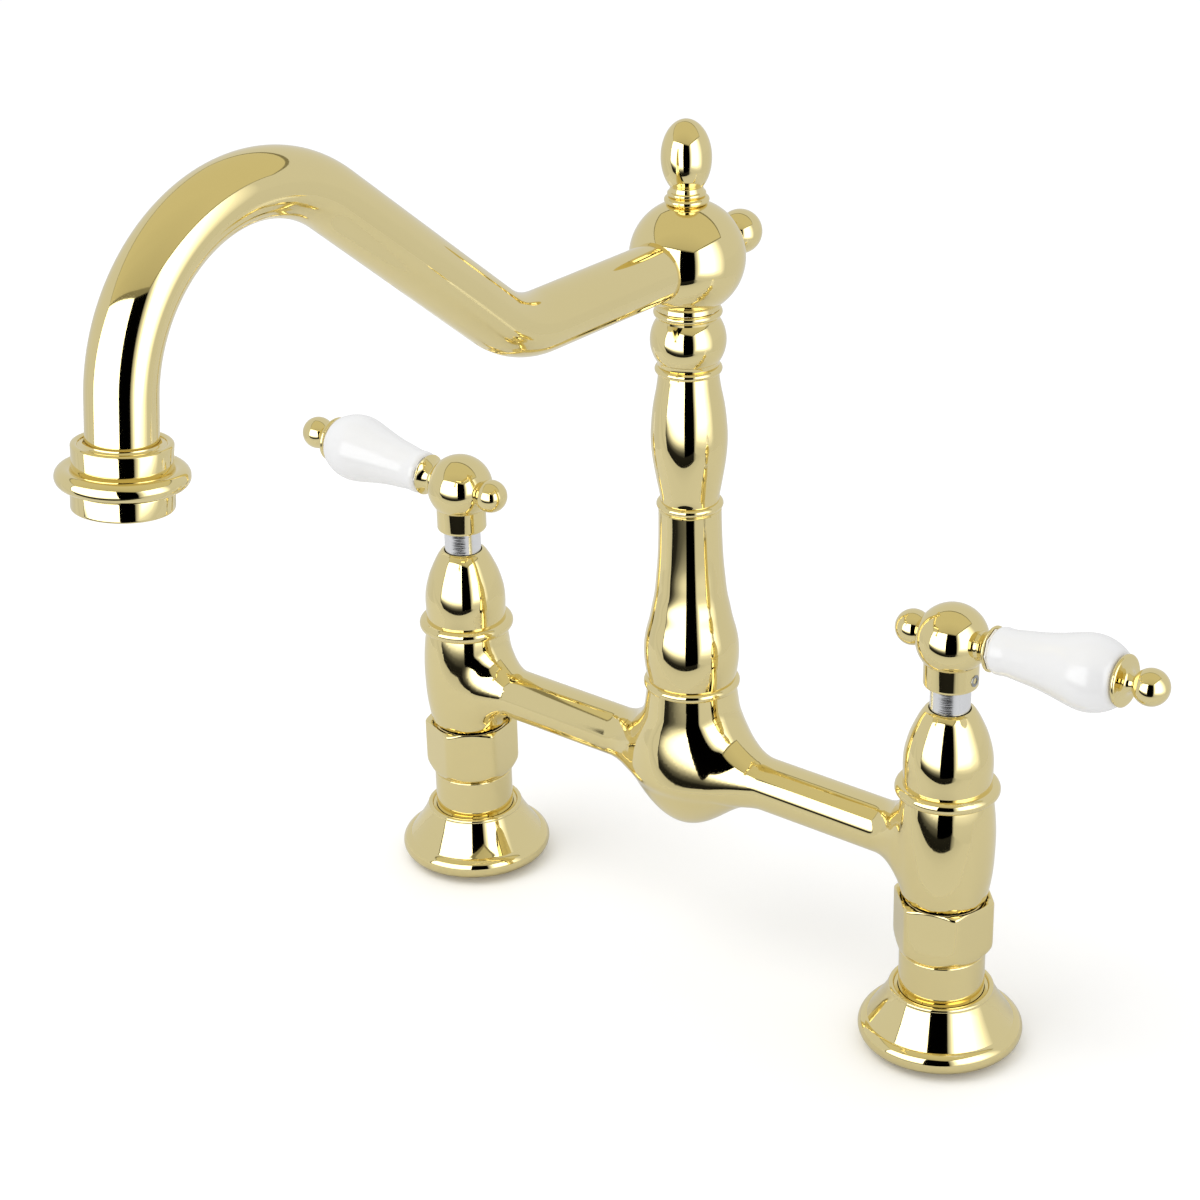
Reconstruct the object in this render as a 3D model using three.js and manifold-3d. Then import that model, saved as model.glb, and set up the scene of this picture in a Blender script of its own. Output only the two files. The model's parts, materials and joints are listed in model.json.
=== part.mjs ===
// Bridge kitchen faucet with two porcelain levers and a swivel spout.
// Millimetres. The origin lies on the worktop, midway between the two inlets.
// +X runs along the bridge to the cold side, -Y points to the sink, +Z is up.

import * as THREE from 'three';
import { mergeVertices } from 'three/addons/utils/BufferGeometryUtils.js';
import Module from 'manifold-3d';

// ---- Clearances ------------------------------------------------------------

const SEAT = 0.3; // between two faces that bear on each other
const THREAD = 0.3; // between a screwed or soldered piece and its hole
const TURN = 0.35; // round a piece that turns inside another
const OVERRUN = 1; // how far a cut runs past the face that it opens

// ---- Driving sizes: worktop and inlets ---------------------------------------

const INLET_SPACING = 203.2;
const WORKTOP = 30; // thickness clamped by the lock nuts
const ESCUTCHEON_H = 21.3;
const ESCUTCHEON_RIM_R = 27;
const ESCUTCHEON_RIM_ROUND = 3.5;
const ESCUTCHEON_RIM_EDGE = 50; // degrees up the round rim, where the cone begins
const ESCUTCHEON_LIP = 2.5; // width of the lip at its top
const ESCUTCHEON_LIP_CHAMFER = 0.8;
const ESCUTCHEON_WALL = 2.6; // measured level, through the slanting cone
const FOOT_GASKET_T = 2.2;
const FOOT_GASKET_R = 18;
const TAILPIECE_R = 14;
const TAILPIECE_TOP = 35;
const SHANK_R = 10.4; // half-inch pipe thread
const SHANK_DROP = 48; // length below the worktop surface
const SHANK_BORE_R = 6;
const SHANK_CHAMFER = 0.8;
const DECK_WASHER_R = 22;
const DECK_WASHER_T = 2;
const LOCK_NUT_FLATS = 30;
const LOCK_NUT_H = 6;
const LOCK_NUT_ROUND = 1;

// ---- Driving sizes: union nut ------------------------------------------------

const NUT_FLATS = 29;
const NUT_H = 19.7;
const NUT_ROUND = 1.6;
const NUT_LIP_H = 3.6;
const NUT_TWIST = 9; // degrees off the bridge line, mirrored on the other side
const SPIGOT_R = 11.6; // thread under each barrel
const UNION_NECK_R = 9.6;
const UNION_FLANGE_T = 1.8;
const UNION_WASHER_T = 2;

// ---- Driving sizes: bridge casting -------------------------------------------

const BRIDGE_R = 8.95;
const BRIDGE_RISE = 16; // bridge axis above the foot of the barrels
const WATERWAY_R = 5.5;
const BARREL_H = 36;
const BARREL_FOOT_R = 13.8;
const BARREL_BELLY_R = 15.7;
const BARREL_HEAD_R = 14.6;
const BARREL_FILLET = 9;
const BARREL_ROOT_SPREAD = 0.4; // sideways share of that fillet
const VALVE_COLLAR_R = 12.5;
const VALVE_COLLAR_H = 8.7;
const VALVE_CHAMBER_R = 9.5;
const VALVE_SEAT_RISE = 5; // valve seat above the foot of the barrels
const NECK_R = 15;
const NECK_RISE = 27.6; // column seat above the bridge axis
const NECK_FILLET = 21;
const BOSS_DROP = 13.4; // teardrop under the middle, below the bridge pipe
const BOSS_WIDEN = 6;
const BOSS_FULLNESS = 1.3; // 2 is a bell, 1 a plain bow
const SOCKET_DEPTH = 10; // thread for the column

// ---- Driving sizes: column ---------------------------------------------------

const BASE_RING_R = 16.1;
const BASE_RING_ROUND = 1.6;
const BULB_H = 62;
const BULB_FOOT_R = 15;
const BULB_R = 15.9;
const SHAFT_R = 10.4;
const MID_RING_R = 10.95;
const RING_ROUND = 1.4;
const VASE_H = 43;
const VASE_R = 12.4;
const VASE_NECK_R = 9.8;
const KNOP_H = 16;
const KNOP_R = 12.2;
const COLUMN_THREAD_R = 9.6;
const COLUMN_GASKET_T = 1.5;
const PIVOT_R = 8; // spigot that the spout turns on
const PIVOT_STUD_R = 4.2;
const PIVOT_STUD_H = 14.4;
const O_RING_R = 0.65;
const O_RING_INSET = 3; // from each end of the hub's bore
const PORT_R = 2.6;

// ---- Driving sizes: spout ----------------------------------------------------

const THRUST_WASHER_T = 0.8;
const HUB_R = 18.4;
const HUB_FOOT_R = 10.22; // flat underside
const HUB_CROWN_R = 5.37; // flat top under the finial
const HUB_CAP = 5.5; // metal above the pivot
const HUB_CHAMBER_R = 10.6;
const HUB_CHAMBER_H = 11;
const TUBE_R = 9.5;
const TUBE_WALL = 1.2;
const TUBE_INSET = 11.6; // inner end of the tube, from the swivel axis
const TUBE_SOCKET = 4.5; // depth of the tube in the outlet collar
const ARM_REACH = 70; // level stretch
const RISE_BEND_R = 35;
const RISE_ANGLE = 39.2;
const RISE_LENGTH = 80;
const CROWN_BEND_R = 48;
const DROP_ANGLE = 84; // steepness of the outlet leg
const DROP_LENGTH = 21.3; // from the bend to the middle of the outlet ring
const OUTLET_COLLAR_R = 13.2;
const OUTLET_COLLAR_H = 8.9; // above the middle of the ring
const OUTLET_RING_R = 17.7;
const OUTLET_RING_ROUND = 2.6;
const OUTLET_CHAMFER = 0.8;
const OUTLET_THREAD_R = 11.7;
const AERATOR_R = 13.4;
const AERATOR_H = 5.7;
const AERATOR_WALL = 1.5;
const AERATOR_LIP = 0.9;
const AERATOR_CHAMFER = 0.5;
const COLLAR_SHOULDER = 1; // between the tube's socket and the aerator's thread
const AERATOR_WASHER_T = 1.4;
const AERATOR_HOLES = 6;
const AERATOR_HOLE_R = 1.6;
const AERATOR_HOLE_CIRCLE_R = 6.4;
const SCREEN_T = 0.8;
const REAR_KNOB_R = 7.15;
const REAR_KNOB_REACH = 27.4;
const REAR_NECK_R = 3.8;
const STUD_R = 3;
const STUD_SHY = 1.4; // metal between the stud and the hub's chamber

// ---- Driving sizes: finial ---------------------------------------------------

const FINIAL_R = 7.95;
const FINIAL_HALF_H = 12;
const FINIAL_NECK_R = 5.05;
const FINIAL_NECK_H = 1;
const FINIAL_RING_R = 7.1;
const FINIAL_RING_ROUND = 1.05;
const FINIAL_BEAD_R = 6.1;
const FINIAL_BEAD_ROUND = 0.9;

// ---- Driving sizes: bonnet and valve -----------------------------------------

const BONNET_H = 30.2;
const BEAD_R = 16.7;
const BEAD_ROUND = 2.2;
const BONNET_R = 14.3;
const BONNET_WALL = 1.6;
const CARTRIDGE_FLANGE_T = 3;
const CARTRIDGE_FLANGE_SHY = 0.6; // narrower than the collar that it stands on
const CARTRIDGE_NECK_R = 7.4;
const CARTRIDGE_NECK_H = 3.4;
const SKIRT_WALL = 0.9; // of the cartridge round its discs
const WINDOW_W = 9.2; // water windows through the skirt
const SEAL_T = 2.2;
const DISC_T = 2.9;
const DISC_PORT_R = 2.3;
const DISC_PORT_OUT = 4.2; // from the middle of the disc
const LUG_R = 0.8; // the stem turns the disc with two of them
const LUG_H = 1.2;
const LUG_OUT = 6;
const DRIVE_PLATE_T = 2;
const STEM_R = 3.9;
const STEM_GRIP = 16; // length of the stem inside its sleeve
const SLEEVE_R = 6.4;
const SLEEVE_SHOW = 8.2; // bright sleeve seen between bonnet and lever

// ---- Driving sizes: lever ----------------------------------------------------

const LEVER_BALL_R = 11.5;
const LEVER_SKIRT_R = 8.7;
const LEVER_SKIRT_DROP = 15.5;
const LEVER_SKIRT_CHAMFER = 1.3;
const SLEEVE_SOCKET = 12.5; // depth of the sleeve's socket in the ball
const TAIL_BALL_R = 5.75;
const TAIL_BALL_REACH = 14.3;
const LEVER_TILT = 3.5; // degrees above level
const FERRULE_NECK_R = 4.8;
const FERRULE_START = 10.9; // from the middle of the ball
const FERRULE_L = 4.3;
const FERRULE_CUP_R = 7.3;
const FERRULE_RUN_IN = 2; // length trimmed to the round of the ball
const GRIP_INNER_R = 7.1;
const GRIP_BELLY_R = 11.9;
const GRIP_OUTER_R = 8.4;
const GRIP_L = 42.5;
const GRIP_BORE_R = 2.2;
const GRIP_CHAMFER = 0.4;
const CUSHION_T = 0.6;
const CAP_R = 8;
const CAP_T = 1.5;
const CAP_CHAMFER = 0.8;
const KNOB_R = 5.75;
const KNOB_NECK_R = 2.6;
const KNOB_NECK_L = 2.4;
const ROD_R = 1.6;
const ROD_INSET = 6.2; // inner end of the rod, from the middle of the ball
const ROD_DEPTH = 5; // depth of the rod in the end knob
const GRUB_R = 2;
const GRUB_L = 2.1;
const GRUB_HEIGHT = 3.6; // above the lower edge of the skirt

// ---- Facets ------------------------------------------------------------------

const WIDE = 16; // sides of the large turned pieces
const MEDIUM = 12;
const FINE = 10;
const SMALL = 8;
const BEAD_EDGE = 80; // degrees from the widest line of a bead to its crease

// ---- Levels worked out from the sizes ----------------------------------------

const NUT_BASE_Z = TAILPIECE_TOP + SEAT;
const NUT_TOP_Z = NUT_BASE_Z + NUT_H;
const FOOT_Z = NUT_TOP_Z + SEAT;
const BRIDGE_Z = FOOT_Z + BRIDGE_RISE;
const BARREL_TOP_Z = FOOT_Z + BARREL_H;
const VALVE_COLLAR_TOP_Z = BARREL_TOP_Z + VALVE_COLLAR_H;
const VALVE_SEAT_Z = FOOT_Z + VALVE_SEAT_RISE;
const UNION_FLANGE_Z = NUT_BASE_Z + NUT_LIP_H + SEAT;
const UNION_WASHER_Z = UNION_FLANGE_Z + UNION_FLANGE_T + SEAT;
const SPIGOT_END_Z = UNION_WASHER_Z + UNION_WASHER_T + SEAT;
const BONNET_BASE_Z = BARREL_TOP_Z + SEAT;
const BONNET_TOP_Z = BONNET_BASE_Z + BONNET_H;
const LEVER_Z = BONNET_TOP_Z + SLEEVE_SHOW + LEVER_SKIRT_DROP;
const NECK_TOP_Z = BRIDGE_Z + NECK_RISE;
const COLUMN_BASE_Z = NECK_TOP_Z + SEAT;
const BULB_Z = COLUMN_BASE_Z + 2 * BASE_RING_ROUND;
const MID_RING_Z = BULB_Z + BULB_H;
const VASE_Z = MID_RING_Z + 2 * RING_ROUND;
const KNOP_Z = VASE_Z + VASE_H + 2 * RING_ROUND;
const COLUMN_TOP_Z = KNOP_Z + KNOP_H + 2 * RING_ROUND;
const THRUST_Z = COLUMN_TOP_Z + SEAT;
const HUB_FLAT = Math.sqrt(HUB_R * HUB_R - HUB_FOOT_R * HUB_FOOT_R);
const HUB_CROWN = Math.sqrt(HUB_R * HUB_R - HUB_CROWN_R * HUB_CROWN_R);
const HUB_Z = THRUST_Z + THRUST_WASHER_T + SEAT + HUB_FLAT;
const HUB_BASE_Z = HUB_Z - HUB_FLAT;
const PIVOT_TOP_Z = HUB_Z + HUB_CROWN - HUB_CAP;
const FINIAL_Z = HUB_Z + HUB_CROWN + SEAT;
const SEAL_Z = VALVE_SEAT_Z + SEAT;
const FIXED_DISC_Z = SEAL_Z + SEAL_T + SEAT;
const MOVING_DISC_Z = FIXED_DISC_Z + DISC_T + SEAT;
const DRIVE_Z = MOVING_DISC_Z + DISC_T + SEAT;
const CARTRIDGE_FLANGE_Z = VALVE_COLLAR_TOP_Z + SEAT;
const CARTRIDGE_NECK_Z = CARTRIDGE_FLANGE_Z + CARTRIDGE_FLANGE_T;
const SLEEVE_Z = CARTRIDGE_NECK_Z + CARTRIDGE_NECK_H + SEAT;
const SLEEVE_HOLE_R = SLEEVE_R + TURN;
const DISC_R = VALVE_CHAMBER_R - THREAD - SKIRT_WALL - TURN;
const ROD_HOLE_R = ROD_R + THREAD;
const GRIP_START = FERRULE_START + FERRULE_L + 2 * SEAT + CUSHION_T;
const CAP_START = GRIP_START + GRIP_L + SEAT;
const KNOB_CENTRE = CAP_START + CAP_T + KNOB_NECK_L + KNOB_R;

// ---- Materials ---------------------------------------------------------------

const FINISHES = {
  polished_brass: { color: 0xd8bc72, roughness: 0.08, metalness: 1 },
  plain_brass: { color: 0xb8964f, roughness: 0.4, metalness: 1 },
  bright_chrome: { color: 0xc4c6cc, roughness: 0.18, metalness: 1 },
  steel: { color: 0x9a9c9f, roughness: 0.35, metalness: 1 },
  porcelain: { color: 0xf6f5f2, roughness: 0.12, metalness: 0 },
  ceramic: { color: 0xe6e2da, roughness: 0.3, metalness: 0 },
  nylon: { color: 0xe9e6dc, roughness: 0.5, metalness: 0 },
  rubber: { color: 0x1d1d1f, roughness: 0.8, metalness: 0 },
};

// ---- Solid tools -------------------------------------------------------------

const wasm = await Module();
wasm.setup();

const radians = THREE.MathUtils.degToRad;
const degrees = THREE.MathUtils.radToDeg;

// A closed three.js geometry as a solid that can be cut and joined.
function solid(geometry) {
  geometry.deleteAttribute('normal');
  geometry.deleteAttribute('uv');
  const welded = mergeVertices(geometry, 1e-4);
  const corners = [];
  for (let i = 0; i < welded.index.count; i += 3) {
    const [a, b, c] = [0, 1, 2].map((k) => welded.index.getX(i + k));
    if (a !== b && b !== c && c !== a) corners.push(a, b, c);
  }
  return new wasm.Manifold(new wasm.Mesh({
    numProp: 3,
    vertProperties: welded.attributes.position.array,
    triVerts: Uint32Array.from(corners),
  }));
}

// A named mesh from a finished solid.
function piece(name, finish, body) {
  const data = body.getMesh();
  const geometry = new THREE.BufferGeometry();
  geometry.setAttribute('position', new THREE.BufferAttribute(data.vertProperties, 3));
  geometry.setIndex(new THREE.BufferAttribute(data.triVerts, 1));
  geometry.computeVertexNormals();
  const mesh = new THREE.Mesh(geometry, new THREE.MeshStandardMaterial(FINISHES[finish]));
  mesh.name = name;
  return mesh;
}

// A value this share of the way from one size to another.
const between = (low, high, share) => low + share * (high - low);

// Points [radius, height] on a round stretch, angles in degrees from the outward side.
function arc(r, z, radius, from, to, steps) {
  return oval(r, z, radius, radius, from, to, steps);
}

function oval(r, z, halfWidth, halfHeight, from, to, steps) {
  const points = [];
  for (let i = 0; i <= steps; i += 1) {
    const angle = radians(from + ((to - from) * i) / steps);
    points.push([Math.max(0, r + halfWidth * Math.cos(angle)), z + halfHeight * Math.sin(angle)]);
  }
  return points;
}

// A flowing stretch through [share of the height, radius] pairs.
function flow(z, height, stations, steps) {
  const knots = stations.map(([share, r]) => new THREE.Vector2(r, z + share * height));
  return new THREE.SplineCurve(knots).getPoints(steps).map((p) => [p.x, p.y]);
}

// A solid of revolution about Z from an outline of [radius, height] points.
function turned(outline, sides) {
  const points = outline.map(([r, z]) => new THREE.Vector2(r, z));
  if (THREE.ShapeUtils.area(points) < 0) points.reverse();
  const touchesAxis = points[0].x === 0 && points[points.length - 1].x === 0;
  if (!touchesAxis) points.push(points[0].clone());
  return solid(new THREE.LatheGeometry(points, sides).rotateX(Math.PI / 2));
}

// A round bar between two levels.
function bar(radius, low, high, sides) {
  return turned([[0, low], [radius, low], [radius, high], [0, high]], sides);
}

// The radius of a faceted hole whose flats, not its corners, lie this far out.
const round = (radius, sides) => radius / Math.cos(Math.PI / sides);

// What a drill of this radius takes away.
function drill(radius, low, high, sides) {
  return bar(round(radius, sides), low, high, sides);
}

// A flat ring between two levels.
function ring(inner, outer, low, high, sides) {
  const r = round(inner, sides);
  return turned([[r, low], [outer, low], [outer, high], [r, high]], sides);
}

function ball(radius, sides, rows) {
  return turned(arc(0, 0, radius, -90, 90, rows), sides);
}

function block(x, y, z) {
  return solid(new THREE.BoxGeometry(x, y, z));
}

// A hexagonal bar across its flats, with its top and bottom edges turned off.
function hexagon(flats, low, high, round) {
  const corner = flats / Math.sqrt(3);
  const prism = bar(corner, low, high, 6);
  const turning = turned([
    [0, low], [flats / 2 - round / 2, low], [corner, low + round],
    [corner, high - round], [flats / 2 - round / 2, high], [0, high],
  ], MEDIUM);
  return prism.intersect(turning);
}

// Two copies of a solid, this far out on both sides of the middle.
const pair = (body, out) => body.translate([out, 0, 0]).add(body.translate([-out, 0, 0]));
const alongX = (body) => body.rotate([0, 90, 0]);
const alongY = (body) => body.rotate([-90, 0, 0]);

// ---- Bridge casting ----------------------------------------------------------

// Closed rings of points joined into one skin, with a fan over each end.
function loft(rings) {
  const sides = rings[0].length;
  const positions = rings.flat().flatMap((p) => [p.x, p.y, p.z]);
  const faces = [];
  for (let s = 0; s + 1 < rings.length; s += 1) {
    for (let k = 0; k < sides; k += 1) {
      const a = s * sides + k;
      const b = s * sides + ((k + 1) % sides);
      faces.push(a, b, b + sides, a, b + sides, a + sides);
    }
  }
  const last = (rings.length - 1) * sides;
  for (let k = 1; k + 1 < sides; k += 1) {
    faces.push(0, k + 1, k, last, last + k, last + k + 1);
  }
  const geometry = new THREE.BufferGeometry();
  geometry.setAttribute('position', new THREE.Float32BufferAttribute(positions, 3));
  geometry.setIndex(faces);
  return solid(geometry);
}

// How far a rounded corner of this radius stands out at a distance from a wall.
function fillet(distance, radius) {
  if (distance >= radius) return 0;
  const inside = radius - Math.max(0, distance);
  return radius - Math.sqrt(radius * radius - inside * inside);
}

// A soft hump: its full height in the middle and nothing at its edge.
function hump(distance, reach, fullness) {
  return distance >= reach ? 0 : Math.cos((Math.PI * distance) / (2 * reach)) ** fullness;
}

// The egg-shaped section of the bridge at one place along it.
function bridgeSection(x) {
  const toBarrel = INLET_SPACING / 2 - Math.abs(x) - BARREL_BELLY_R;
  const root = fillet(toBarrel, BARREL_FILLET);
  const shoulder = fillet(Math.abs(x) - NECK_R, NECK_FILLET);
  const boss = hump(Math.abs(x), NECK_R + NECK_FILLET, BOSS_FULLNESS);
  const halfWidth = BRIDGE_R + BOSS_WIDEN * boss + BARREL_ROOT_SPREAD * root;
  const rise = Math.min(BRIDGE_R + shoulder + root, NECK_RISE);
  const drop = Math.min(BRIDGE_R + root, BRIDGE_RISE) + BOSS_DROP * boss;
  const points = [];
  for (let k = 0; k < MEDIUM; k += 1) {
    const angle = (2 * Math.PI * k) / MEDIUM;
    const up = Math.sin(angle);
    points.push(new THREE.Vector3(x, halfWidth * Math.cos(angle), BRIDGE_Z + up * (up > 0 ? rise : drop)));
  }
  return points;
}

// The pipe with its boss and the coves at the barrels.
function bridgePipe() {
  const barrelWall = INLET_SPACING / 2 - BARREL_BELLY_R;
  const half = [0, 0.5, 1].map((share) => share * NECK_R)
    .concat([0.12, 0.28, 0.5, 1].map((share) => NECK_R + share * NECK_FILLET))
    .concat([1, 0.5, 0.2, 0].map((share) => barrelWall - share * BARREL_FILLET));
  half.push(INLET_SPACING / 2 - BARREL_HEAD_R / 2);
  const stations = [...half.slice(1).map((x) => -x).reverse(), ...half];
  return loft(stations.map(bridgeSection));
}

// Barrel, thread spigot below it and valve collar above it, as one turned body.
function barrelBody() {
  return turned([
    [0, SPIGOT_END_Z], [SPIGOT_R, SPIGOT_END_Z], [SPIGOT_R, FOOT_Z],
    ...flow(FOOT_Z, BARREL_H, [
      [0, BARREL_FOOT_R], [0.25, between(BARREL_FOOT_R, BARREL_BELLY_R, 0.7)],
      [0.55, BARREL_BELLY_R], [1, BARREL_HEAD_R],
    ], 5),
    [VALVE_COLLAR_R, BARREL_TOP_Z], [VALVE_COLLAR_R, VALVE_COLLAR_TOP_Z], [0, VALVE_COLLAR_TOP_Z],
  ], WIDE);
}

function bridgeCasting() {
  const reach = INLET_SPACING / 2;
  const neck = turned([
    ...oval(0, BRIDGE_Z, NECK_R, BRIDGE_R + BOSS_DROP, -90, 0, 5),
    [NECK_R, NECK_TOP_Z], [0, NECK_TOP_Z],
  ], WIDE);
  const inlet = drill(SHANK_BORE_R, SPIGOT_END_Z - OVERRUN, VALVE_SEAT_Z + OVERRUN, SMALL);
  const chamber = drill(VALVE_CHAMBER_R, VALVE_SEAT_Z, VALVE_COLLAR_TOP_Z + OVERRUN, FINE);
  const barrel = barrelBody();
  let body = bridgePipe().add(neck);
  for (const side of [-1, 1]) {
    body = body.add(barrel.translate([side * reach, 0, 0]));
    body = body.subtract(inlet.add(chamber).translate([side * reach, 0, 0]));
  }
  const across = alongX(drill(WATERWAY_R, -reach, reach, SMALL)).translate([0, 0, BRIDGE_Z]);
  const socket = drill(COLUMN_THREAD_R + THREAD, NECK_TOP_Z - SOCKET_DEPTH, NECK_TOP_Z + OVERRUN, FINE);
  const up = drill(WATERWAY_R, BRIDGE_Z, NECK_TOP_Z, SMALL);
  return piece('bridge_casting', 'polished_brass', body.subtract(across.add(socket).add(up)));
}

// ---- Column ------------------------------------------------------------------

const PIVOT_GROOVE_R = PIVOT_R + TURN - 2 * O_RING_R - 2 * SEAT;
const PIVOT_GROOVE_HALF = O_RING_R + SEAT;
const O_RING_LEVELS = [HUB_BASE_Z + O_RING_INSET, PIVOT_TOP_Z - O_RING_INSET];
const COLUMN_GASKET_Z = NECK_TOP_Z - SOCKET_DEPTH + SEAT;

function columnOutline() {
  const bead = (r, z) => arc(r - RING_ROUND, z + RING_ROUND, RING_ROUND, -BEAD_EDGE, BEAD_EDGE, 2);
  const groove = (z) => [
    [PIVOT_R, z - PIVOT_GROOVE_HALF], [PIVOT_GROOVE_R, z - PIVOT_GROOVE_HALF],
    [PIVOT_GROOVE_R, z + PIVOT_GROOVE_HALF], [PIVOT_R, z + PIVOT_GROOVE_HALF],
  ];
  const threadEnd = COLUMN_GASKET_Z + COLUMN_GASKET_T + SEAT;
  const studTop = PIVOT_TOP_Z + PIVOT_STUD_H;
  const knopEdge = degrees(Math.acos(VASE_NECK_R / KNOP_R));
  const baseRingZ = COLUMN_BASE_Z + BASE_RING_ROUND;
  return [
    [WATERWAY_R, threadEnd], [COLUMN_THREAD_R, threadEnd], [COLUMN_THREAD_R, COLUMN_BASE_Z],
    ...arc(BASE_RING_R - BASE_RING_ROUND, baseRingZ, BASE_RING_ROUND, -90, BEAD_EDGE, 3),
    ...flow(BULB_Z, BULB_H, [
      [0, BULB_FOOT_R], [0.16, BULB_R], [0.34, between(SHAFT_R, BULB_R, 0.67)],
      [0.52, between(SHAFT_R, BULB_R, 0.3)], [0.72, between(SHAFT_R, BULB_R, 0.07)], [1, SHAFT_R],
    ], 6),
    ...bead(MID_RING_R, MID_RING_Z),
    ...flow(VASE_Z, VASE_H, [
      [0, VASE_NECK_R], [0.25, between(VASE_NECK_R, VASE_R, 0.63)], [0.46, VASE_R],
      [0.72, between(VASE_NECK_R, VASE_R, 0.7)], [1, VASE_NECK_R],
    ], 6),
    ...bead(MID_RING_R, VASE_Z + VASE_H),
    ...arc(0, KNOP_Z + KNOP_H / 2, KNOP_R, -knopEdge, knopEdge, 4),
    ...bead(MID_RING_R, KNOP_Z + KNOP_H),
    [PIVOT_R, COLUMN_TOP_Z],
    ...O_RING_LEVELS.flatMap(groove),
    [PIVOT_R, PIVOT_TOP_Z], [PIVOT_STUD_R, PIVOT_TOP_Z], [PIVOT_STUD_R, studTop],
    [0, studTop], [0, HUB_Z + PORT_R], [WATERWAY_R, HUB_Z + PORT_R],
  ];
}

function column() {
  const port = drill(PORT_R, -PIVOT_R - OVERRUN, PIVOT_R + OVERRUN, SMALL);
  const ports = alongX(port).add(alongY(port)).translate([0, 0, HUB_Z]);
  return piece('column', 'polished_brass', turned(columnOutline(), WIDE).subtract(ports));
}

function columnFittings() {
  const seal = (z) => turned(arc(PIVOT_GROOVE_R + SEAT + O_RING_R, z, O_RING_R, 0, 270, 3), FINE);
  return [
    piece('column_gasket', 'rubber', ring(
      WATERWAY_R, COLUMN_THREAD_R, COLUMN_GASKET_Z, COLUMN_GASKET_Z + COLUMN_GASKET_T, SMALL,
    )),
    piece('lower_o_ring', 'rubber', seal(O_RING_LEVELS[0])),
    piece('upper_o_ring', 'rubber', seal(O_RING_LEVELS[1])),
    piece('thrust_washer', 'nylon', ring(
      PIVOT_R + TURN, HUB_FOOT_R, THRUST_Z, THRUST_Z + THRUST_WASHER_T, MEDIUM,
    )),
  ];
}

function finial() {
  const boreTop = PIVOT_TOP_Z + PIVOT_STUD_H + SEAT;
  const bore = PIVOT_STUD_R + THREAD;
  const ringZ = FINIAL_Z + FINIAL_RING_ROUND;
  const beadZ = ringZ + FINIAL_RING_ROUND + FINIAL_BEAD_ROUND;
  const acornAngle = -degrees(Math.acos(FINIAL_NECK_R / FINIAL_R));
  const acornFoot = beadZ + FINIAL_BEAD_ROUND + FINIAL_NECK_H;
  const acornZ = acornFoot - FINIAL_HALF_H * Math.sin(radians(acornAngle));
  return piece('finial', 'polished_brass', turned([
    [0, boreTop], [bore, boreTop], [bore, FINIAL_Z],
    ...arc(FINIAL_RING_R - FINIAL_RING_ROUND, ringZ, FINIAL_RING_ROUND, -90, BEAD_EDGE, 3),
    ...arc(FINIAL_BEAD_R - FINIAL_BEAD_ROUND, beadZ, FINIAL_BEAD_ROUND, -BEAD_EDGE, BEAD_EDGE, 2),
    ...oval(0, acornZ, FINIAL_R, FINIAL_HALF_H, acornAngle, 90, 7),
  ], MEDIUM));
}

// ---- Spout -------------------------------------------------------------------

// Places along the middle of the spout: how far out, how high and which way it heads.
function spoutSpine() {
  const spine = [{ reach: TUBE_INSET, z: HUB_Z, heading: 0 }];
  const at = () => spine[spine.length - 1];
  const straight = (length) => {
    const { reach, z, heading } = at();
    spine.push({ reach: reach + length * Math.cos(heading), z: z + length * Math.sin(heading), heading });
  };
  const bend = (radius, to, steps) => {
    const { reach, z, heading: from } = at();
    const turn = Math.sign(to - from) * radius;
    for (let i = 1; i <= steps; i += 1) {
      const heading = from + ((to - from) * i) / steps;
      spine.push({
        reach: reach + turn * (Math.sin(heading) - Math.sin(from)),
        z: z - turn * (Math.cos(heading) - Math.cos(from)),
        heading,
      });
    }
  };
  straight(ARM_REACH - TUBE_INSET);
  bend(RISE_BEND_R, radians(RISE_ANGLE), 3);
  straight(RISE_LENGTH);
  bend(CROWN_BEND_R, radians(-DROP_ANGLE), 9);
  straight(DROP_LENGTH);
  const outlet = spine.pop();
  straight(DROP_LENGTH - OUTLET_COLLAR_H + TUBE_SOCKET);
  return { spine, outlet };
}

function spoutTube() {
  const { spine } = spoutSpine();
  const skin = (radius, sides, extra) => loft(spine.map(({ reach, z, heading }, i) => {
    const overrun = i === 0 ? -extra : (i === spine.length - 1 ? extra : 0);
    const centre = new THREE.Vector3(0, -reach, z)
      .add(new THREE.Vector3(0, -Math.cos(heading), Math.sin(heading)).multiplyScalar(overrun));
    return Array.from({ length: sides }, (_, k) => {
      const angle = (2 * Math.PI * k) / sides;
      const up = radius * Math.sin(angle);
      return new THREE.Vector3(radius * Math.cos(angle), up * Math.sin(heading), up * Math.cos(heading))
        .add(centre);
    });
  }));
  return piece('spout_tube', 'polished_brass', skin(TUBE_R, MEDIUM, 0)
    .subtract(skin(TUBE_R - TUBE_WALL, SMALL, OVERRUN)));
}

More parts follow.
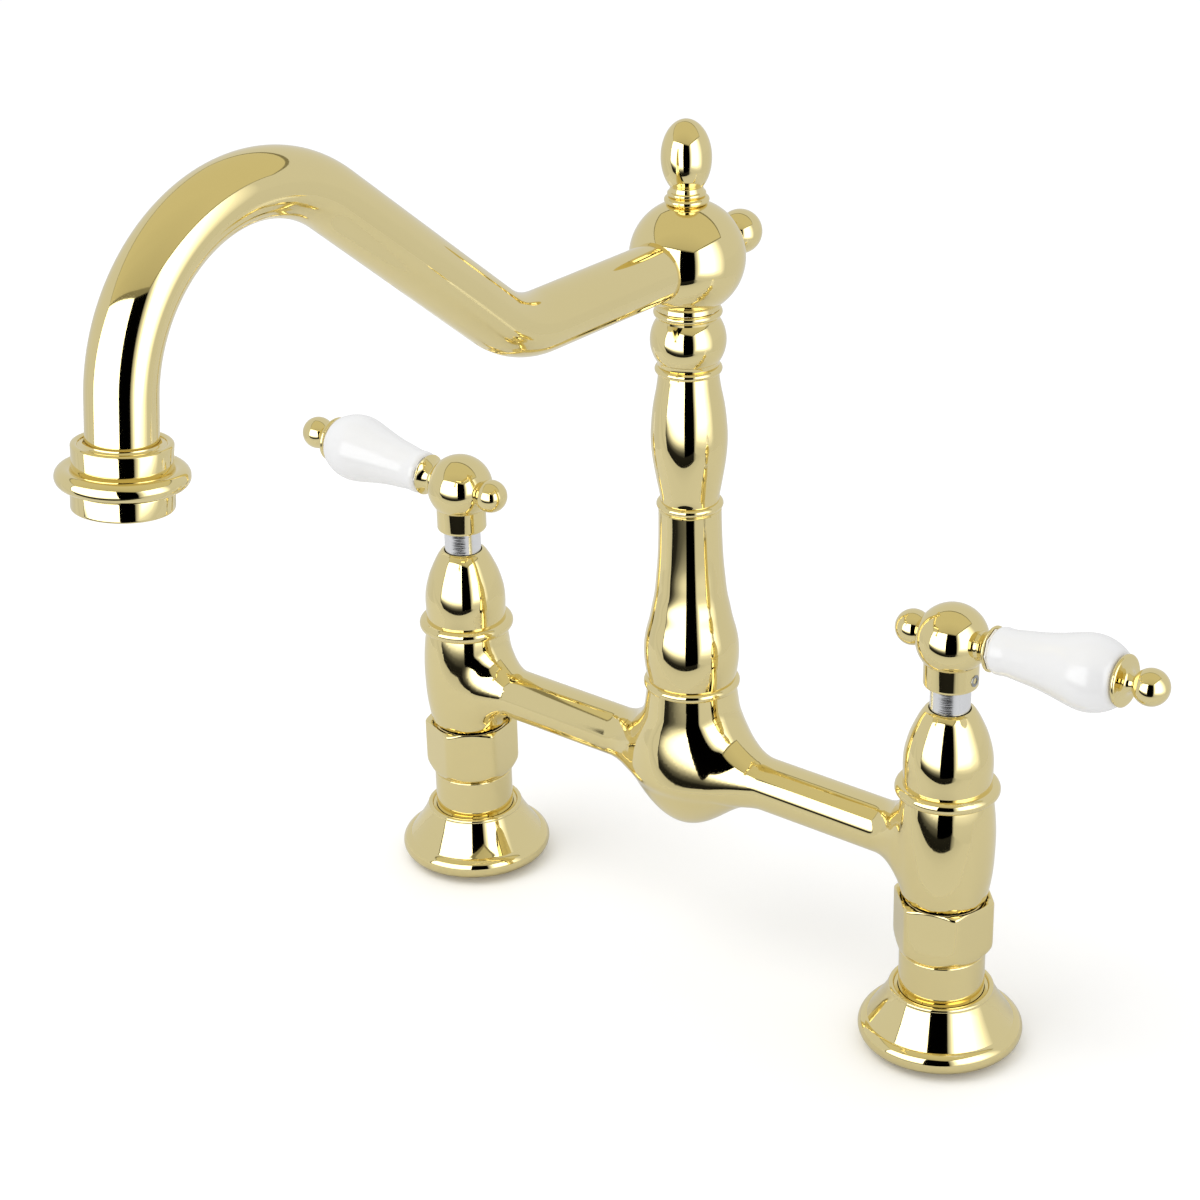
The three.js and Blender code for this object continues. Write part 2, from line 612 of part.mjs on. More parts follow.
function spoutHub() {
  const angleAt = (height) => degrees(Math.asin(height / HUB_R));
  const shell = turned([
    [0, -HUB_FLAT], ...arc(0, 0, HUB_R, angleAt(-HUB_FLAT), angleAt(HUB_CROWN), 9), [0, HUB_CROWN],
  ], WIDE);
  const boreTop = PIVOT_TOP_Z + SEAT - HUB_Z;
  const hollows = drill(PIVOT_R + TURN, -HUB_FLAT - OVERRUN, boreTop, MEDIUM)
    .add(drill(PIVOT_STUD_R + TURN, boreTop - OVERRUN, HUB_CROWN + OVERRUN, FINE))
    .add(bar(HUB_CHAMBER_R, -HUB_CHAMBER_H / 2, HUB_CHAMBER_H / 2, MEDIUM))
    .add(alongY(drill(TUBE_R + THREAD, -HUB_R - OVERRUN, -TUBE_INSET + SEAT, MEDIUM)))
    .add(alongY(drill(WATERWAY_R, -TUBE_INSET, 0, FINE)))
    .add(alongY(drill(STUD_R + THREAD, HUB_CHAMBER_R + STUD_SHY, HUB_R + OVERRUN, SMALL)));
  const mesh = piece('spout_hub', 'polished_brass', shell.subtract(hollows));
  mesh.position.z = HUB_Z;
  return mesh;
}

// Ball knob behind the hub, on a short neck and a screwed stud.
function rearKnob() {
  const neckAngle = -90 + degrees(Math.asin(REAR_NECK_R / REAR_KNOB_R));
  const knob = turned([
    [0, HUB_CHAMBER_R], [REAR_NECK_R, HUB_CHAMBER_R],
    ...arc(0, REAR_KNOB_REACH, REAR_KNOB_R, neckAngle, 90, 7),
  ], FINE).subtract(ball(HUB_R + SEAT, WIDE, 9));
  const stud = bar(STUD_R, HUB_CHAMBER_R + STUD_SHY + SEAT, REAR_KNOB_REACH, SMALL);
  const mesh = piece('rear_knob', 'polished_brass', alongY(knob.add(stud)));
  mesh.position.z = HUB_Z;
  return mesh;
}

// The outlet, in a frame whose origin is the middle of the ring and whose +Z runs up the leg.
function outletPieces() {
  const socketEnd = OUTLET_COLLAR_H - TUBE_SOCKET - SEAT;
  const threadTop = socketEnd - COLLAR_SHOULDER;
  const threadHole = OUTLET_THREAD_R + THREAD;
  const foot = -OUTLET_RING_ROUND - SEAT;
  const washerR = OUTLET_THREAD_R - SEAT;
  const throat = TUBE_R - TUBE_WALL;
  const ringMiddle = OUTLET_RING_R - OUTLET_RING_ROUND;
  const meet = degrees(Math.acos((OUTLET_COLLAR_R - ringMiddle) / OUTLET_RING_ROUND));
  const collar = turned([
    [TUBE_R + THREAD, OUTLET_COLLAR_H], [OUTLET_COLLAR_R - OUTLET_CHAMFER, OUTLET_COLLAR_H],
    [OUTLET_COLLAR_R, OUTLET_COLLAR_H - OUTLET_CHAMFER],
    ...arc(ringMiddle, 0, OUTLET_RING_ROUND, meet, -meet, 5),
    [OUTLET_COLLAR_R, foot], [threadHole, foot], [threadHole, threadTop],
    [throat, threadTop], [throat, socketEnd], [TUBE_R + THREAD, socketEnd],
  ], WIDE);
  const washerZ = threadTop - SEAT - AERATOR_WASHER_T;
  const threadEnd = washerZ - SEAT;
  const ringTop = foot - SEAT;
  const bottom = ringTop - AERATOR_H;
  const bore = OUTLET_THREAD_R - AERATOR_WALL;
  const housing = turned([
    [bore, threadEnd], [OUTLET_THREAD_R, threadEnd], [OUTLET_THREAD_R, ringTop],
    [AERATOR_R, ringTop], [AERATOR_R, bottom + AERATOR_CHAMFER], [AERATOR_R - AERATOR_CHAMFER, bottom],
    [bore - AERATOR_LIP, bottom], [bore - AERATOR_LIP, bottom + AERATOR_LIP], [bore, bottom + AERATOR_LIP],
  ], WIDE);
  const screenZ = bottom + AERATOR_LIP + SEAT;
  const insertZ = screenZ + SCREEN_T + SEAT;
  const insertR = bore - THREAD;
  const hole = drill(AERATOR_HOLE_R, bottom, threadEnd + OVERRUN, 5);
  let insert = bar(insertR, insertZ, threadEnd, FINE);
  let screen = bar(insertR, screenZ, screenZ + SCREEN_T, FINE);
  for (let i = 0; i < AERATOR_HOLES; i += 1) {
    const placed = hole.translate([AERATOR_HOLE_CIRCLE_R, 0, 0]).rotate([0, 0, (360 * i) / AERATOR_HOLES]);
    insert = insert.subtract(placed);
    screen = screen.subtract(placed);
  }
  return [
    piece('outlet_collar', 'polished_brass', collar),
    piece('aerator_housing', 'polished_brass', housing),
    piece('aerator_washer', 'rubber', ring(throat, washerR, washerZ, washerZ + AERATOR_WASHER_T, SMALL)),
    piece('aerator_insert', 'nylon', insert),
    piece('aerator_screen', 'steel', screen),
  ];
}

function outlet() {
  const { outlet: end } = spoutSpine();
  const group = new THREE.Group();
  group.position.set(0, -end.reach, end.z);
  group.rotation.x = -(Math.PI / 2 + end.heading);
  group.add(...outletPieces());
  return group;
}

// ---- Inlet legs --------------------------------------------------------------

function tailpiece(name) {
  const shoulder = FOOT_GASKET_T + SEAT;
  return piece(`${name}_tailpiece`, 'polished_brass', turned([
    [SHANK_BORE_R, -SHANK_DROP], [SHANK_R - SHANK_CHAMFER, -SHANK_DROP],
    [SHANK_R, SHANK_CHAMFER - SHANK_DROP],
    [SHANK_R, shoulder], [TAILPIECE_R, shoulder], [TAILPIECE_R, TAILPIECE_TOP],
    [UNION_NECK_R, TAILPIECE_TOP], [UNION_NECK_R, UNION_FLANGE_Z], [SPIGOT_R, UNION_FLANGE_Z],
    [SPIGOT_R, UNION_FLANGE_Z + UNION_FLANGE_T], [SHANK_BORE_R, UNION_FLANGE_Z + UNION_FLANGE_T],
  ], MEDIUM));
}

function escutcheon(name) {
  const rimR = ESCUTCHEON_RIM_R - ESCUTCHEON_RIM_ROUND;
  const rim = arc(rimR, ESCUTCHEON_RIM_ROUND, ESCUTCHEON_RIM_ROUND, -BEAD_EDGE, ESCUTCHEON_RIM_EDGE, 3);
  const [footR, footZ] = rim[rim.length - 1];
  const hole = round(TAILPIECE_R + THREAD, WIDE);
  const lip = hole + ESCUTCHEON_LIP;
  const lipEdge = ESCUTCHEON_H - ESCUTCHEON_LIP_CHAMFER;
  const side = flow(footZ, lipEdge - footZ, [[0, footR], [0.5, between(lip, footR, 0.44)], [1, lip]], 3);
  const inside = side.slice().reverse().map(([r, z]) => [
    Math.max(hole, r - ESCUTCHEON_WALL), Math.min(z, ESCUTCHEON_H - ESCUTCHEON_WALL),
  ]);
  return piece(`${name}_escutcheon`, 'polished_brass', turned([
    [rimR - ESCUTCHEON_WALL, 0], [rimR, 0], ...rim, ...side.slice(1),
    [lip - ESCUTCHEON_LIP_CHAMFER, ESCUTCHEON_H], [hole, ESCUTCHEON_H], ...inside,
  ], WIDE));
}

function unionNut(name, side) {
  const bore = drill(UNION_NECK_R + TURN, NUT_BASE_Z - OVERRUN, NUT_TOP_Z, FINE)
    .add(drill(SPIGOT_R + THREAD, NUT_BASE_Z + NUT_LIP_H, NUT_TOP_Z + OVERRUN, MEDIUM));
  const mesh = piece(`${name}_union_nut`, 'polished_brass',
    hexagon(NUT_FLATS, NUT_BASE_Z, NUT_TOP_Z, NUT_ROUND).subtract(bore));
  mesh.rotation.z = -side * radians(NUT_TWIST);
  return mesh;
}

function bonnet(name) {
  const hole = SLEEVE_HOLE_R;
  const middle = BONNET_BASE_Z + BONNET_H / 3;
  const halfHeight = (BONNET_TOP_Z - middle) / Math.sqrt(1 - (hole / BONNET_R) ** 2);
  const angleAt = (z) => degrees(Math.asin((z - middle) / halfHeight));
  const collarHole = VALVE_COLLAR_R + THREAD;
  const shelf = CARTRIDGE_NECK_Z + SEAT;
  const beadTop = BONNET_BASE_Z + 2 * BEAD_ROUND;
  return piece(`${name}_bonnet`, 'polished_brass', turned([
    [collarHole, BONNET_BASE_Z],
    ...arc(BEAD_R - BEAD_ROUND, BONNET_BASE_Z + BEAD_ROUND, BEAD_ROUND, -90, BEAD_EDGE, 4),
    ...oval(0, middle, BONNET_R, halfHeight, angleAt(beadTop), angleAt(BONNET_TOP_Z), 6),
    [hole, BONNET_TOP_Z - BONNET_WALL], [CARTRIDGE_NECK_R + BONNET_WALL, shelf], [collarHole, shelf],
  ], WIDE));
}

function valve(name) {
  const shell = VALVE_CHAMBER_R - THREAD;
  const cavity = shell - SKIRT_WALL;
  const stemHole = STEM_R + TURN;
  const flangeR = VALVE_COLLAR_R - CARTRIDGE_FLANGE_SHY;
  const cavityTop = DRIVE_Z + DRIVE_PLATE_T + SEAT;
  const neckTop = CARTRIDGE_NECK_Z + CARTRIDGE_NECK_H;
  const window = block(2 * (shell + OVERRUN), WINDOW_W, DRIVE_PLATE_T)
    .translate([0, 0, cavityTop - DRIVE_PLATE_T]);
  const body = turned([
    [cavity, FIXED_DISC_Z], [shell, FIXED_DISC_Z], [shell, CARTRIDGE_FLANGE_Z],
    [flangeR, CARTRIDGE_FLANGE_Z], [flangeR, CARTRIDGE_NECK_Z],
    [CARTRIDGE_NECK_R, CARTRIDGE_NECK_Z], [CARTRIDGE_NECK_R, neckTop],
    [stemHole, neckTop], [stemHole, cavityTop], [cavity, cavityTop],
  ], MEDIUM).subtract(window);
  const stemTop = SLEEVE_Z + STEM_GRIP;
  const stem = turned([
    [0, DRIVE_Z], [cavity - TURN, DRIVE_Z], [cavity - TURN, DRIVE_Z + DRIVE_PLATE_T],
    [STEM_R, DRIVE_Z + DRIVE_PLATE_T], [STEM_R, stemTop], [0, stemTop],
  ], FINE).add(pair(bar(LUG_R, DRIVE_Z - LUG_H, DRIVE_Z + OVERRUN, 6), LUG_OUT));
  const port = drill(DISC_PORT_R, -OVERRUN, DISC_T + OVERRUN, 6);
  const disc = bar(DISC_R, 0, DISC_T, FINE).subtract(pair(port, DISC_PORT_OUT));
  const pocket = drill(LUG_R + SEAT, DISC_T - LUG_H, DISC_T + OVERRUN, 6);
  const fixed = piece(`${name}_fixed_disc`, 'ceramic', disc.translate([0, 0, FIXED_DISC_Z]));
  const moving = piece(`${name}_moving_disc`, 'ceramic',
    disc.rotate([0, 0, 90]).subtract(pair(pocket, LUG_OUT)).translate([0, 0, MOVING_DISC_Z]));
  return [
    piece(`${name}_cartridge`, 'plain_brass', body),
    piece(`${name}_valve_seal`, 'rubber', ring(SHANK_BORE_R, DISC_R, SEAL_Z, SEAL_Z + SEAL_T, SMALL)),
    fixed,
    moving,
    piece(`${name}_stem`, 'plain_brass', stem),
  ];
}

function sleeve(name) {
  const top = LEVER_Z - LEVER_SKIRT_DROP + SLEEVE_SOCKET - SEAT;
  const boreTop = SLEEVE_Z + STEM_GRIP + SEAT;
  return piece(`${name}_stem_sleeve`, 'bright_chrome', turned([
    [STEM_R + THREAD, SLEEVE_Z], [SLEEVE_R, SLEEVE_Z], [SLEEVE_R, top], [0, top],
    [0, boreTop], [STEM_R + THREAD, boreTop],
  ], MEDIUM));
}

// ---- Lever, in a frame at the middle of its ball, pointing along +X ----------

// Turns a piece made about Z onto the lever's own axis, tilted a little upwards.
const ontoLever = (body) => alongX(body).rotate([0, -LEVER_TILT, 0]);

function leverHub(name) {
  const meet = degrees(Math.acos(LEVER_SKIRT_R / LEVER_BALL_R));
  const base = -LEVER_SKIRT_DROP;
  const outside = turned([
    [0, base], [LEVER_SKIRT_R - LEVER_SKIRT_CHAMFER, base], [LEVER_SKIRT_R, base + LEVER_SKIRT_CHAMFER],
    ...arc(0, 0, LEVER_BALL_R, -meet, 90, 6),
  ], MEDIUM).add(ball(TAIL_BALL_R, FINE, 5).translate([-TAIL_BALL_REACH, 0, 0]));
  const grubHole = drill(GRUB_R + THREAD, SLEEVE_R, LEVER_SKIRT_R + OVERRUN, SMALL);
  const hollows = drill(SLEEVE_R + THREAD, base - OVERRUN, base + SLEEVE_SOCKET, MEDIUM)
    .add(ontoLever(drill(ROD_HOLE_R, ROD_INSET - SEAT, LEVER_BALL_R + OVERRUN, SMALL)))
    .add(alongX(grubHole).translate([0, 0, base + GRUB_HEIGHT]));
  return piece(`${name}_lever_hub`, 'polished_brass', outside.subtract(hollows));
}

function grubScrew(name) {
  const start = SLEEVE_R + THREAD;
  const screw = bar(GRUB_R, start, start + GRUB_L, SMALL)
    .subtract(drill(GRUB_R / 2, start + GRUB_L / 2, start + GRUB_L + OVERRUN, 6));
  return piece(`${name}_grub_screw`, 'steel',
    alongX(screw).translate([0, 0, GRUB_HEIGHT - LEVER_SKIRT_DROP]));
}

function leverArm(name) {
  const ferruleEnd = FERRULE_START + FERRULE_L;
  const runIn = FERRULE_START - FERRULE_RUN_IN;
  const ferrule = turned([
    [ROD_HOLE_R, runIn], [FERRULE_NECK_R, runIn],
    ...flow(FERRULE_START, FERRULE_L, [
      [0, FERRULE_NECK_R], [0.35, FERRULE_NECK_R], [0.75, between(FERRULE_NECK_R, FERRULE_CUP_R, 0.6)],
      [1, FERRULE_CUP_R],
    ], 4),
    [ROD_HOLE_R, ferruleEnd],
  ], MEDIUM).subtract(ball(LEVER_BALL_R + SEAT, MEDIUM, 7));
  const cushionZ = ferruleEnd + SEAT;
  const cushion = ring(ROD_HOLE_R, GRIP_INNER_R - GRIP_CHAMFER, cushionZ, cushionZ + CUSHION_T, SMALL);
  const grip = turned([
    [GRIP_BORE_R, GRIP_START], [GRIP_INNER_R - GRIP_CHAMFER, GRIP_START],
    ...flow(GRIP_START + GRIP_CHAMFER, GRIP_L - GRIP_CHAMFER, [
      [0, GRIP_INNER_R], [0.2, between(GRIP_INNER_R, GRIP_BELLY_R, 0.15)],
      [0.44, between(GRIP_INNER_R, GRIP_BELLY_R, 0.46)], [0.62, between(GRIP_INNER_R, GRIP_BELLY_R, 0.82)],
      [0.755, GRIP_BELLY_R], [0.9, between(GRIP_OUTER_R, GRIP_BELLY_R, 0.64)], [1, GRIP_OUTER_R],
    ], 7),
    [GRIP_BORE_R, GRIP_START + GRIP_L],
  ], MEDIUM);
  const neckAngle = -90 + degrees(Math.asin(KNOB_NECK_R / KNOB_R));
  const rodEnd = CAP_START + ROD_DEPTH;
  const knob = turned([
    [ROD_HOLE_R, CAP_START], [CAP_R, CAP_START], [CAP_R, CAP_START + CAP_T - CAP_CHAMFER],
    [CAP_R - CAP_CHAMFER, CAP_START + CAP_T], [KNOB_NECK_R, CAP_START + CAP_T + 0.4 * KNOB_NECK_L],
    ...arc(0, KNOB_CENTRE, KNOB_R, neckAngle, 90, 6),
    [0, rodEnd + SEAT], [ROD_HOLE_R, rodEnd + SEAT],
  ], FINE);
  return [
    piece(`${name}_ferrule`, 'polished_brass', ontoLever(ferrule)),
    piece(`${name}_grip_cushion`, 'nylon', ontoLever(cushion)),
    piece(`${name}_porcelain_grip`, 'porcelain', ontoLever(grip)),
    piece(`${name}_end_knob`, 'polished_brass', ontoLever(knob)),
    piece(`${name}_tie_rod`, 'steel', ontoLever(bar(ROD_R, ROD_INSET, rodEnd, SMALL))),
  ];
}

function lever(name, side) {
  const group = new THREE.Group();
  group.position.z = LEVER_Z;
  group.rotation.z = side < 0 ? Math.PI : 0;
  group.add(leverHub(name), grubScrew(name), ...leverArm(name));
  return group;
}

// ---- One leg with everything above and below its barrel ----------------------

function leg(name, side) {
  const group = new THREE.Group();
  group.position.x = (side * INLET_SPACING) / 2;
  const shankHole = SHANK_R + THREAD;
  const lockNut = hexagon(LOCK_NUT_FLATS, -LOCK_NUT_H, 0, LOCK_NUT_ROUND)
    .subtract(drill(shankHole, -LOCK_NUT_H - OVERRUN, OVERRUN, FINE));
  const lockNutMesh = piece(`${name}_lock_nut`, 'plain_brass', lockNut);
  lockNutMesh.position.z = -WORKTOP - DECK_WASHER_T - SEAT;
  group.add(
    escutcheon(name),
    piece(`${name}_foot_gasket`, 'rubber', ring(shankHole, FOOT_GASKET_R, 0, FOOT_GASKET_T, SMALL)),
    tailpiece(name),
    piece(`${name}_deck_washer`, 'plain_brass',
      ring(shankHole, DECK_WASHER_R, -WORKTOP - DECK_WASHER_T, -WORKTOP, MEDIUM)),
    lockNutMesh,
    unionNut(name, side),
    piece(`${name}_union_washer`, 'rubber',
      ring(SHANK_BORE_R, SPIGOT_R, UNION_WASHER_Z, UNION_WASHER_Z + UNION_WASHER_T, SMALL)),
    ...valve(name),
    bonnet(name),
    sleeve(name),
    lever(name, side),
  );
  return group;
}

// ---- The whole faucet --------------------------------------------------------

const group = new THREE.Group();
group.add(bridgeCasting(), column(), ...columnFittings(), finial());
group.add(spoutHub(), rearKnob(), spoutTube(), outlet());
group.add(leg('hot', -1), leg('cold', 1));

export default group;
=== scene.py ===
# %% [markdown]
# # A bridge kitchen faucet in polished brass
#
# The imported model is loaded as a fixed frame: it knows where every piece of the faucet sits and what turns
# with what. This lesson dresses it. Polished metal shows each facet and each kink of its mesh, because all
# that we see on it is its surroundings bent by its curves. So most visible pieces are made again here from
# finer outlines, with many more sides than a working model needs, and ride on the same bodies.

# %% Load the frame
import json
import math

import bpy
import numpy as np
from mathutils import Matrix, Vector


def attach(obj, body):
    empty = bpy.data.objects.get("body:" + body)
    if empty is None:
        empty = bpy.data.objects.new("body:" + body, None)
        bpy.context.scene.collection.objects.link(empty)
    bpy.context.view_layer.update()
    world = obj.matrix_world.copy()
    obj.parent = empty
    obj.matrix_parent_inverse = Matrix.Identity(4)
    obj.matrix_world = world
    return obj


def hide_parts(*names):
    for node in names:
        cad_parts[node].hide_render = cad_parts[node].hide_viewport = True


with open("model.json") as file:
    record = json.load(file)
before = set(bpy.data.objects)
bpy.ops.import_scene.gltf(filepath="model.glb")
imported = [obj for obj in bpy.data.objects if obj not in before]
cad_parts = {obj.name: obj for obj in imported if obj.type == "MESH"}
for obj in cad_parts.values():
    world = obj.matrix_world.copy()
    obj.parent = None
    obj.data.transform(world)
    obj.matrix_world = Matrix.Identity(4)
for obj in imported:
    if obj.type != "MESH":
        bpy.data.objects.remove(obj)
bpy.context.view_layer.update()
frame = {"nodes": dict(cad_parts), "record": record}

MM = 0.001  # every size below is written in millimetres
INLET_X = 101.6  # each valve stands this far from the middle

# %% [markdown]
# ## The camera
#
# The picture was taken from the front right, from a little above, with a long lens about a metre away. A
# long lens keeps the two legs nearly the same size, so the lens matters as much as the place. The camera's
# axes are written out from three angles, which is easier to check than a rotation in Euler angles.

# %% Camera
AZIMUTH, ELEVATION, ROLL = (math.radians(a) for a in (40.03, 25.10, -1.468))
CAMERA_PLACE = Vector((521.3, -667.3, 527.5)) * MM
LENS_MM, SENSOR_MM = 84.93, 36

back = Vector((
    math.sin(AZIMUTH) * math.cos(ELEVATION),
    -math.cos(AZIMUTH) * math.cos(ELEVATION),
    math.sin(ELEVATION),
))
level = Vector((math.cos(AZIMUTH), math.sin(AZIMUTH), 0))
upward = back.cross(level)
right = level * math.cos(ROLL) + upward * math.sin(ROLL)
up = back.cross(right)

lens = bpy.data.cameras.new("camera")
lens.lens = LENS_MM
lens.sensor_width = SENSOR_MM
camera = bpy.data.objects.new("camera", lens)
camera.matrix_world = Matrix((
    (right.x, up.x, back.x, CAMERA_PLACE.x),
    (right.y, up.y, back.y, CAMERA_PLACE.y),
    (right.z, up.z, back.z, CAMERA_PLACE.z),
    (0, 0, 0, 1),
))
bpy.context.scene.collection.objects.link(camera)
bpy.context.scene.camera = camera
bpy.context.scene.view_settings.view_transform = "Standard"
print("camera distance:", round(CAMERA_PLACE.length, 3), "m")

# %% [markdown]
# ## Outlines
#
# Nearly every piece of a turned faucet is an outline swept round an axis, as it leaves the lathe. An
# outline is a list of radius and height. Three tools draw one: an arc for beads and balls, an eased corner
# for edges that the polishing wheel has softened, and a smooth curve through a few stations for vases and
# bulbs. That curve is a cubic spline: its bend changes without a step, which matters here because a step in
# the bend shows as a kink in every reflection.

# %% Outline tools
def arc(centre, radii, start, end, steps=14):
    """Points on a round stretch. Angles in degrees: 0 points outwards, 90 points up."""
    turn = np.radians(np.linspace(start, end, steps + 1))
    return [[max(0.0, centre[0] + radii[0] * math.cos(t)), centre[1] + radii[1] * math.sin(t)] for t in turn]


def bead(reach, height, section, start=-88, end=88, steps=14):
    """A round bead whose widest point is at this reach."""
    return arc((reach - section, height), (section, section), start, end, steps)


def eased(corners, steps=5):
    """An outline through [radius, height, easing] corners, each rounded over its easing."""
    points = []
    for i, (r, z, ease) in enumerate(corners):
        corner = np.array((r, z), float)
        if ease == 0:
            points.append([r, z])
            continue
        before = np.array(corners[i - 1][:2], float) - corner
        after = np.array(corners[(i + 1) % len(corners)][:2], float) - corner
        start = corner + before / np.linalg.norm(before) * ease
        end = corner + after / np.linalg.norm(after) * ease
        for t in np.linspace(0, 1, steps + 1):
            points.append(list((1 - t) ** 2 * start + 2 * t * (1 - t) * corner + t ** 2 * end))
    return points


def smooth(stations, steps=7):
    """A curve through [radius, height] stations whose bend changes without a step."""
    p = np.array(stations, float)
    gaps = np.linalg.norm(np.diff(p, axis=0), axis=1)
    slopes = np.diff(p, axis=0) / gaps[:, None]
    system = np.eye(len(p))
    pull = np.zeros_like(p)
    for i in range(1, len(p) - 1):
        system[i, i - 1:i + 2] = gaps[i - 1], 2 * (gaps[i - 1] + gaps[i]), gaps[i]
        pull[i] = 6 * (slopes[i] - slopes[i - 1])
    bend = np.linalg.solve(system, pull)
    points = [list(p[0])]
    for i, gap in enumerate(gaps):
        for t in np.linspace(0, 1, steps + 1)[1:]:
            share = (1 - t) * p[i] + t * p[i + 1]
            swell = ((1 - t) ** 3 - (1 - t)) * bend[i] + (t ** 3 - t) * bend[i + 1]
            points.append(list(share + swell * gap ** 2 / 6))
    return points


print("a bead 10 mm out:", [[round(v, 2) for v in point] for point in bead(10, 0, 1, steps=2)])

# %% [markdown]
# ## From outline to object
#
# A shape here is a pair of arrays, points and faces, still in millimetres. `turned` sweeps an outline round
# Z, `moved` puts the shape where the piece sits, and `make` turns it into a Blender mesh in metres, rides
# it on its body and hides the plain node that it stands for. Edges sharper than 35 degrees stay crisp, and
# all else is shaded smooth.

# %% Shape tools
CRISP_ANGLE = math.radians(35)


def turned(outline, sides=128):
    """A closed body of revolution. An outline that isn't closed at the axis is closed on itself."""
    points, faces, rings = [], [], []
    turn = 2 * math.pi * np.arange(sides) / sides
    for r, z in outline:
        first = len(points)
        if r < 1e-6:
            points.append((0, 0, z))
            rings.append([first] * sides)
        else:
            points.extend((r * math.cos(t), r * math.sin(t), z) for t in turn)
            rings.append(list(range(first, first + sides)))
    if outline[0][0] > 1e-6 or outline[-1][0] > 1e-6:
        rings.append(rings[0])
    for lower, upper in zip(rings, rings[1:]):
        for k in range(sides):
            n = (k + 1) % sides
            corners = dict.fromkeys((lower[k], lower[n], upper[n], upper[k]))
            if len(corners) > 2:
                faces.append(tuple(corners))
    return np.array(points, float), faces


def moved(shape, matrix):
    points, faces = shape
    return points @ np.array(matrix.to_3x3()).T + np.array(matrix.translation), faces


def joined(*shapes):
    points, faces = [], []
    for p, f in shapes:
        first = sum(len(q) for q in points)
        points.append(p)
        faces.extend(tuple(first + i for i in face) for face in f)
    return np.vstack(points), faces


def outward(points, faces):
    """Faces turned so that the body's volume is positive."""
    fans = np.array([(f[0], f[i], f[i + 1]) for f in faces for i in range(1, len(f) - 1)])
    a, b, c = (points[fans[:, corner]] for corner in range(3))
    volume = (a * np.cross(b, c)).sum()
    return faces if volume > 0 else [tuple(reversed(f)) for f in faces]


def make(name, shape, body, slot, *nodes):
    """A Blender piece from a shape, riding on a body in place of its nodes."""
    points, faces = shape
    mesh = bpy.data.meshes.new(name)
    mesh.from_pydata((points * MM).tolist(), [], outward(points, faces))
    mesh.validate()
    mesh.shade_smooth()
    mesh.set_sharp_from_angle(angle=CRISP_ANGLE)
    piece = bpy.data.objects.new(name, mesh)
    bpy.context.scene.collection.objects.link(piece)
    piece.data.materials.append(FINISHES[slot])
    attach(piece, body)
    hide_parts(*nodes)
    print(f"{name}: {len(mesh.vertices)} points, {len(mesh.polygons)} faces")
    return piece


print("a turned cone has", len(turned([[0, 0], [1, 0], [0, 1]])[1]), "faces")

# %% [markdown]
# ## Finishes
#
# Polished brass under lacquer is nearly a mirror, but never a perfect one: a polishing wheel leaves soft
# waves about a centimetre long, fine lines inside them, and a haze that comes and goes. These three belong
# to every metal on the faucet, and to the glaze too, so they are one node group with its own inputs. Each
# finish sets how strong they are and which way the lines run: along a drawn tube, or round a piece that
# came off the lathe. The group works on object coordinates, which follow the piece wherever it turns.

# %% The polishing group
def socket(tree, name, kind, direction, value=None):
    made = tree.interface.new_socket(name=name, in_out=direction, socket_type=kind)
    if value is not None:
        made.default_value = value
    return made


def wheel_polish():
    tree = bpy.data.node_groups.new("wheel_polish", "ShaderNodeTree")
    defaults = {"Wave Scale": 90.0, "Line Scale": 900.0, "Line Share": 0.2, "Haze Scale": 45.0}
    for name, value in defaults.items():
        socket(tree, name, "NodeSocketFloat", "INPUT", value)
    socket(tree, "Line Stretch", "NodeSocketVector", "INPUT", (1.0, 1.0, 0.06))
    socket(tree, "Height", "NodeSocketFloat", "OUTPUT")
    socket(tree, "Haze", "NodeSocketFloat", "OUTPUT")
    add, link = tree.nodes.new, tree.links.new
    inputs, outputs = add("NodeGroupInput"), add("NodeGroupOutput")
    place = add("ShaderNodeTexCoord")
    wave, line, haze = (add("ShaderNodeTexNoise") for _ in range(3))
    for noise, scale, detail in (
        (wave, "Wave Scale", 1.0), (line, "Line Scale", 2.0), (haze, "Haze Scale", 4.0),
    ):
        noise.inputs["Detail"].default_value = detail
        link(inputs.outputs[scale], noise.inputs["Scale"])
    link(place.outputs["Object"], wave.inputs["Vector"])
    link(place.outputs["Object"], haze.inputs["Vector"])
    stretch = add("ShaderNodeVectorMath")
    stretch.operation = "MULTIPLY"
    link(place.outputs["Object"], stretch.inputs[0])
    link(inputs.outputs["Line Stretch"], stretch.inputs[1])
    link(stretch.outputs[0], line.inputs["Vector"])
    blend = add("ShaderNodeMix")
    link(inputs.outputs["Line Share"], blend.inputs["Factor"])
    link(wave.outputs["Fac"], blend.inputs["A"])
    link(line.outputs["Fac"], blend.inputs["B"])
    link(blend.outputs["Result"], outputs.inputs["Height"])
    link(haze.outputs["Fac"], outputs.inputs["Haze"])
    return tree


POLISH = wheel_polish()
print("polishing group:", [item.name for item in POLISH.interface.items_tree])

# %% [markdown]
# A finish is then one Principled shader. The haze moves its colour between two close shades and its
# roughness between two close values, and the height goes through a Bump node. The distance of the bump is a
# real depth. On the polished brass it is under a hundredth of a millimetre, so that the brass stays a
# mirror.

# %% Finishes
ALONG, ROUND = (1.0, 1.0, 0.06), (0.06, 0.06, 1.0)  # which way the fine lines run


